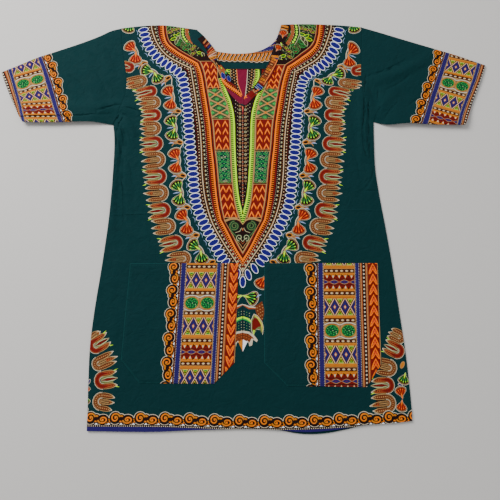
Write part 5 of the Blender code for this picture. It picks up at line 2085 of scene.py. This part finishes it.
    for i, part in enumerate(names):
        if part in ("top", "low"):
            joined(chains[0][i], chains[1][i], looks[part])
            joined(chains[2][i], chains[3][i], -looks[part])
        else:
            joined(chains[0][i], chains[2][i], looks[part])
            joined(chains[1][i], chains[3][i], looks[part])
            for end in (0, -1):
                joined([chains[0][i][end], chains[1][i][end]], [chains[2][i][end], chains[3][i][end]], looks[part])
    stitches(name.replace("cloth", "stitches"), [cuff_line], wall_height(1, 0))
    return finish_piece(name, points, np.vstack(faces), np.concatenate(inks), np.concatenate(normals))


def on_sleeve(stations, under=False):
    """Puts a border's (u, v) on a sleeve. Each station is a place across the border and points down it: x, y and v."""
    at = [u for u, _ in stations]
    tracks = []
    for _, track in stations:
        track = np.array(track, float)
        before, after = 2 * track[0] - track[1], 2 * track[-1] - track[-2]
        tracks.append(np.vstack([before, track, after]))
    fold = [track[1, 2] for track in tracks]

    def to_plan(shape):
        u, v = shape[:, 0], shape[:, 1]
        if under:
            v = 2 * np.interp(u, at, fold) - v
        spots = np.array([[np.interp(v, track[:, 2], track[:, k]) for k in (0, 1)] for track in tracks])
        place_in = np.clip(np.searchsorted(at, u, side="right") - 1, 0, len(at) - 2)
        low, high = np.array(at)[place_in], np.array(at)[place_in + 1]
        share = np.clip((u - low) / (high - low), -0.5, 2.5)
        each = np.arange(len(u))
        first, second = spots[place_in, :, each], spots[place_in + 1, :, each]
        return first + (second - first) * share[:, None]

    return to_plan


for side, top, low, cuff, arm, lines, area in (
    (
        "left",
        (
            (-0.265, 0.412), (-0.284, 0.407), (-0.309, 0.3945), (-0.408, 0.3555), (-0.44, 0.344), (-0.478, 0.3265),
            (-0.515, 0.3095),
        ),
        ((-0.271, 0.19), (-0.292, 0.193), (-0.315, 0.195), (-0.342, 0.195), (-0.402, 0.193), (-0.458, 0.194)),
        ((-0.515, 0.3095), (-0.504, 0.283), (-0.492, 0.256), (-0.479, 0.229), (-0.467, 0.207), (-0.458, 0.194)),
        (
            (-0.271, 0.19), (-0.259, 0.227), (-0.251, 0.256), (-0.248, 0.289), (-0.253, 0.325), (-0.26, 0.363),
            (-0.265, 0.412),
        ),
        (
            (0, ((-407, 352, 17), (-395.6, 322.8, 52.6), (-382.4, 289.9, 92.8), (-371, 252, 138.4), (-355, 207, 192))),
            (
                27.2,
                ((-431, 341, 19.9), (-419.9, 314.4, 52.6), (-406.6, 282, 92.8), (-395, 245, 138.4), (-380, 207, 190)),
            ),
            (
                35.4,
                ((-438, 339, 19.4), (-426.4, 312.2, 52.6), (-415.5, 279.5, 92.8), (-403, 244, 138.4), (-388, 207, 189)),
            ),
            (
                98,
                (
                    (-495, 316, 24.9), (-486.8, 293, 52.6), (-475.5, 259.5, 92.8), (-468.5, 238.6, 138.4),
                    (-457.5, 206, 190),
                ),
            ),
            (
                104.6,
                ((-501, 315, 23.5), (-492, 291, 52.6), (-480.5, 257.5, 92.8), (-473.5, 238, 138.4), (-463, 206, 190)),
            ),
            (
                115,
                ((-516, 309, 25.3), (-504.4, 288.2, 52.6), (-490.5, 255, 92.8), (-482.5, 236, 138.4), (-468, 206, 190)),
            ),
        ),
        0.079,
    ),
    (
        "right",
        ((0.256, 0.4145), (0.277, 0.408), (0.337, 0.388), (0.41, 0.364), (0.47, 0.3435), (0.516, 0.325)),
        ((0.272, 0.197), (0.296, 0.19), (0.348, 0.1915), (0.383, 0.189), (0.46, 0.187)),
        ((0.516, 0.325), (0.501, 0.288), (0.485, 0.249), (0.47, 0.211), (0.46, 0.187)),
        ((0.272, 0.197), (0.261, 0.222), (0.253, 0.25), (0.25, 0.286), (0.252, 0.35), (0.256, 0.4145)),
        (
            (0, ((408, 362, -7.1), (391.7, 312.1, 52.6), (378.5, 279.2, 92.8), (361, 235.8, 146), (346, 198, 192.4))),
            (
                27.2,
                ((433, 353, -4.2), (415.2, 306.3, 52.6), (402.6, 273.2, 92.8), (386, 229.4, 146), (371.8, 192, 191.5)),
            ),
            (
                35.4,
                ((440, 350, -2.6), (423.1, 304.4, 52.6), (411.1, 271.1, 92.8), (394.6, 227, 146), (382.2, 191, 189.5)),
            ),
            (98, ((498, 326, 8.3), (484.9, 289.3, 52.6), (469.5, 253, 92.8), (450, 208.4, 146), (444, 188, 172))),
            (104.6, ((504.5, 324, 8.8), (491, 287.7, 52.6), (475.4, 251.5, 92.8), (456, 207.4, 146), (450, 187, 171))),
            (115, ((516, 321, 8.3), (501, 285, 52.6), (483.8, 249, 92.8), (464.6, 205.4, 146), (458.5, 187, 170))),
        ),
        0.087,
    ),
):
    outward = math.copysign(1.0, cuff[0][0])
    top, low, cuff, arm = (smooth_curve(edge, 8) for edge in (top, low, cuff, arm))
    arm = beside(arm[::-1], SEAM_GAP * outward)
    top[0], low[0] = arm[0], arm[-1]
    upper_print = laid_on(border(-8, 216), on_sleeve(lines))
    lower_print = laid_on(border(-180, 40), on_sleeve(lines, under=True))
    sleeve = sleeve_shell("sleeve_" + side + "_cloth", arm, top, cuff, low, upper_print, lower_print)
    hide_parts("sleeve_" + side)
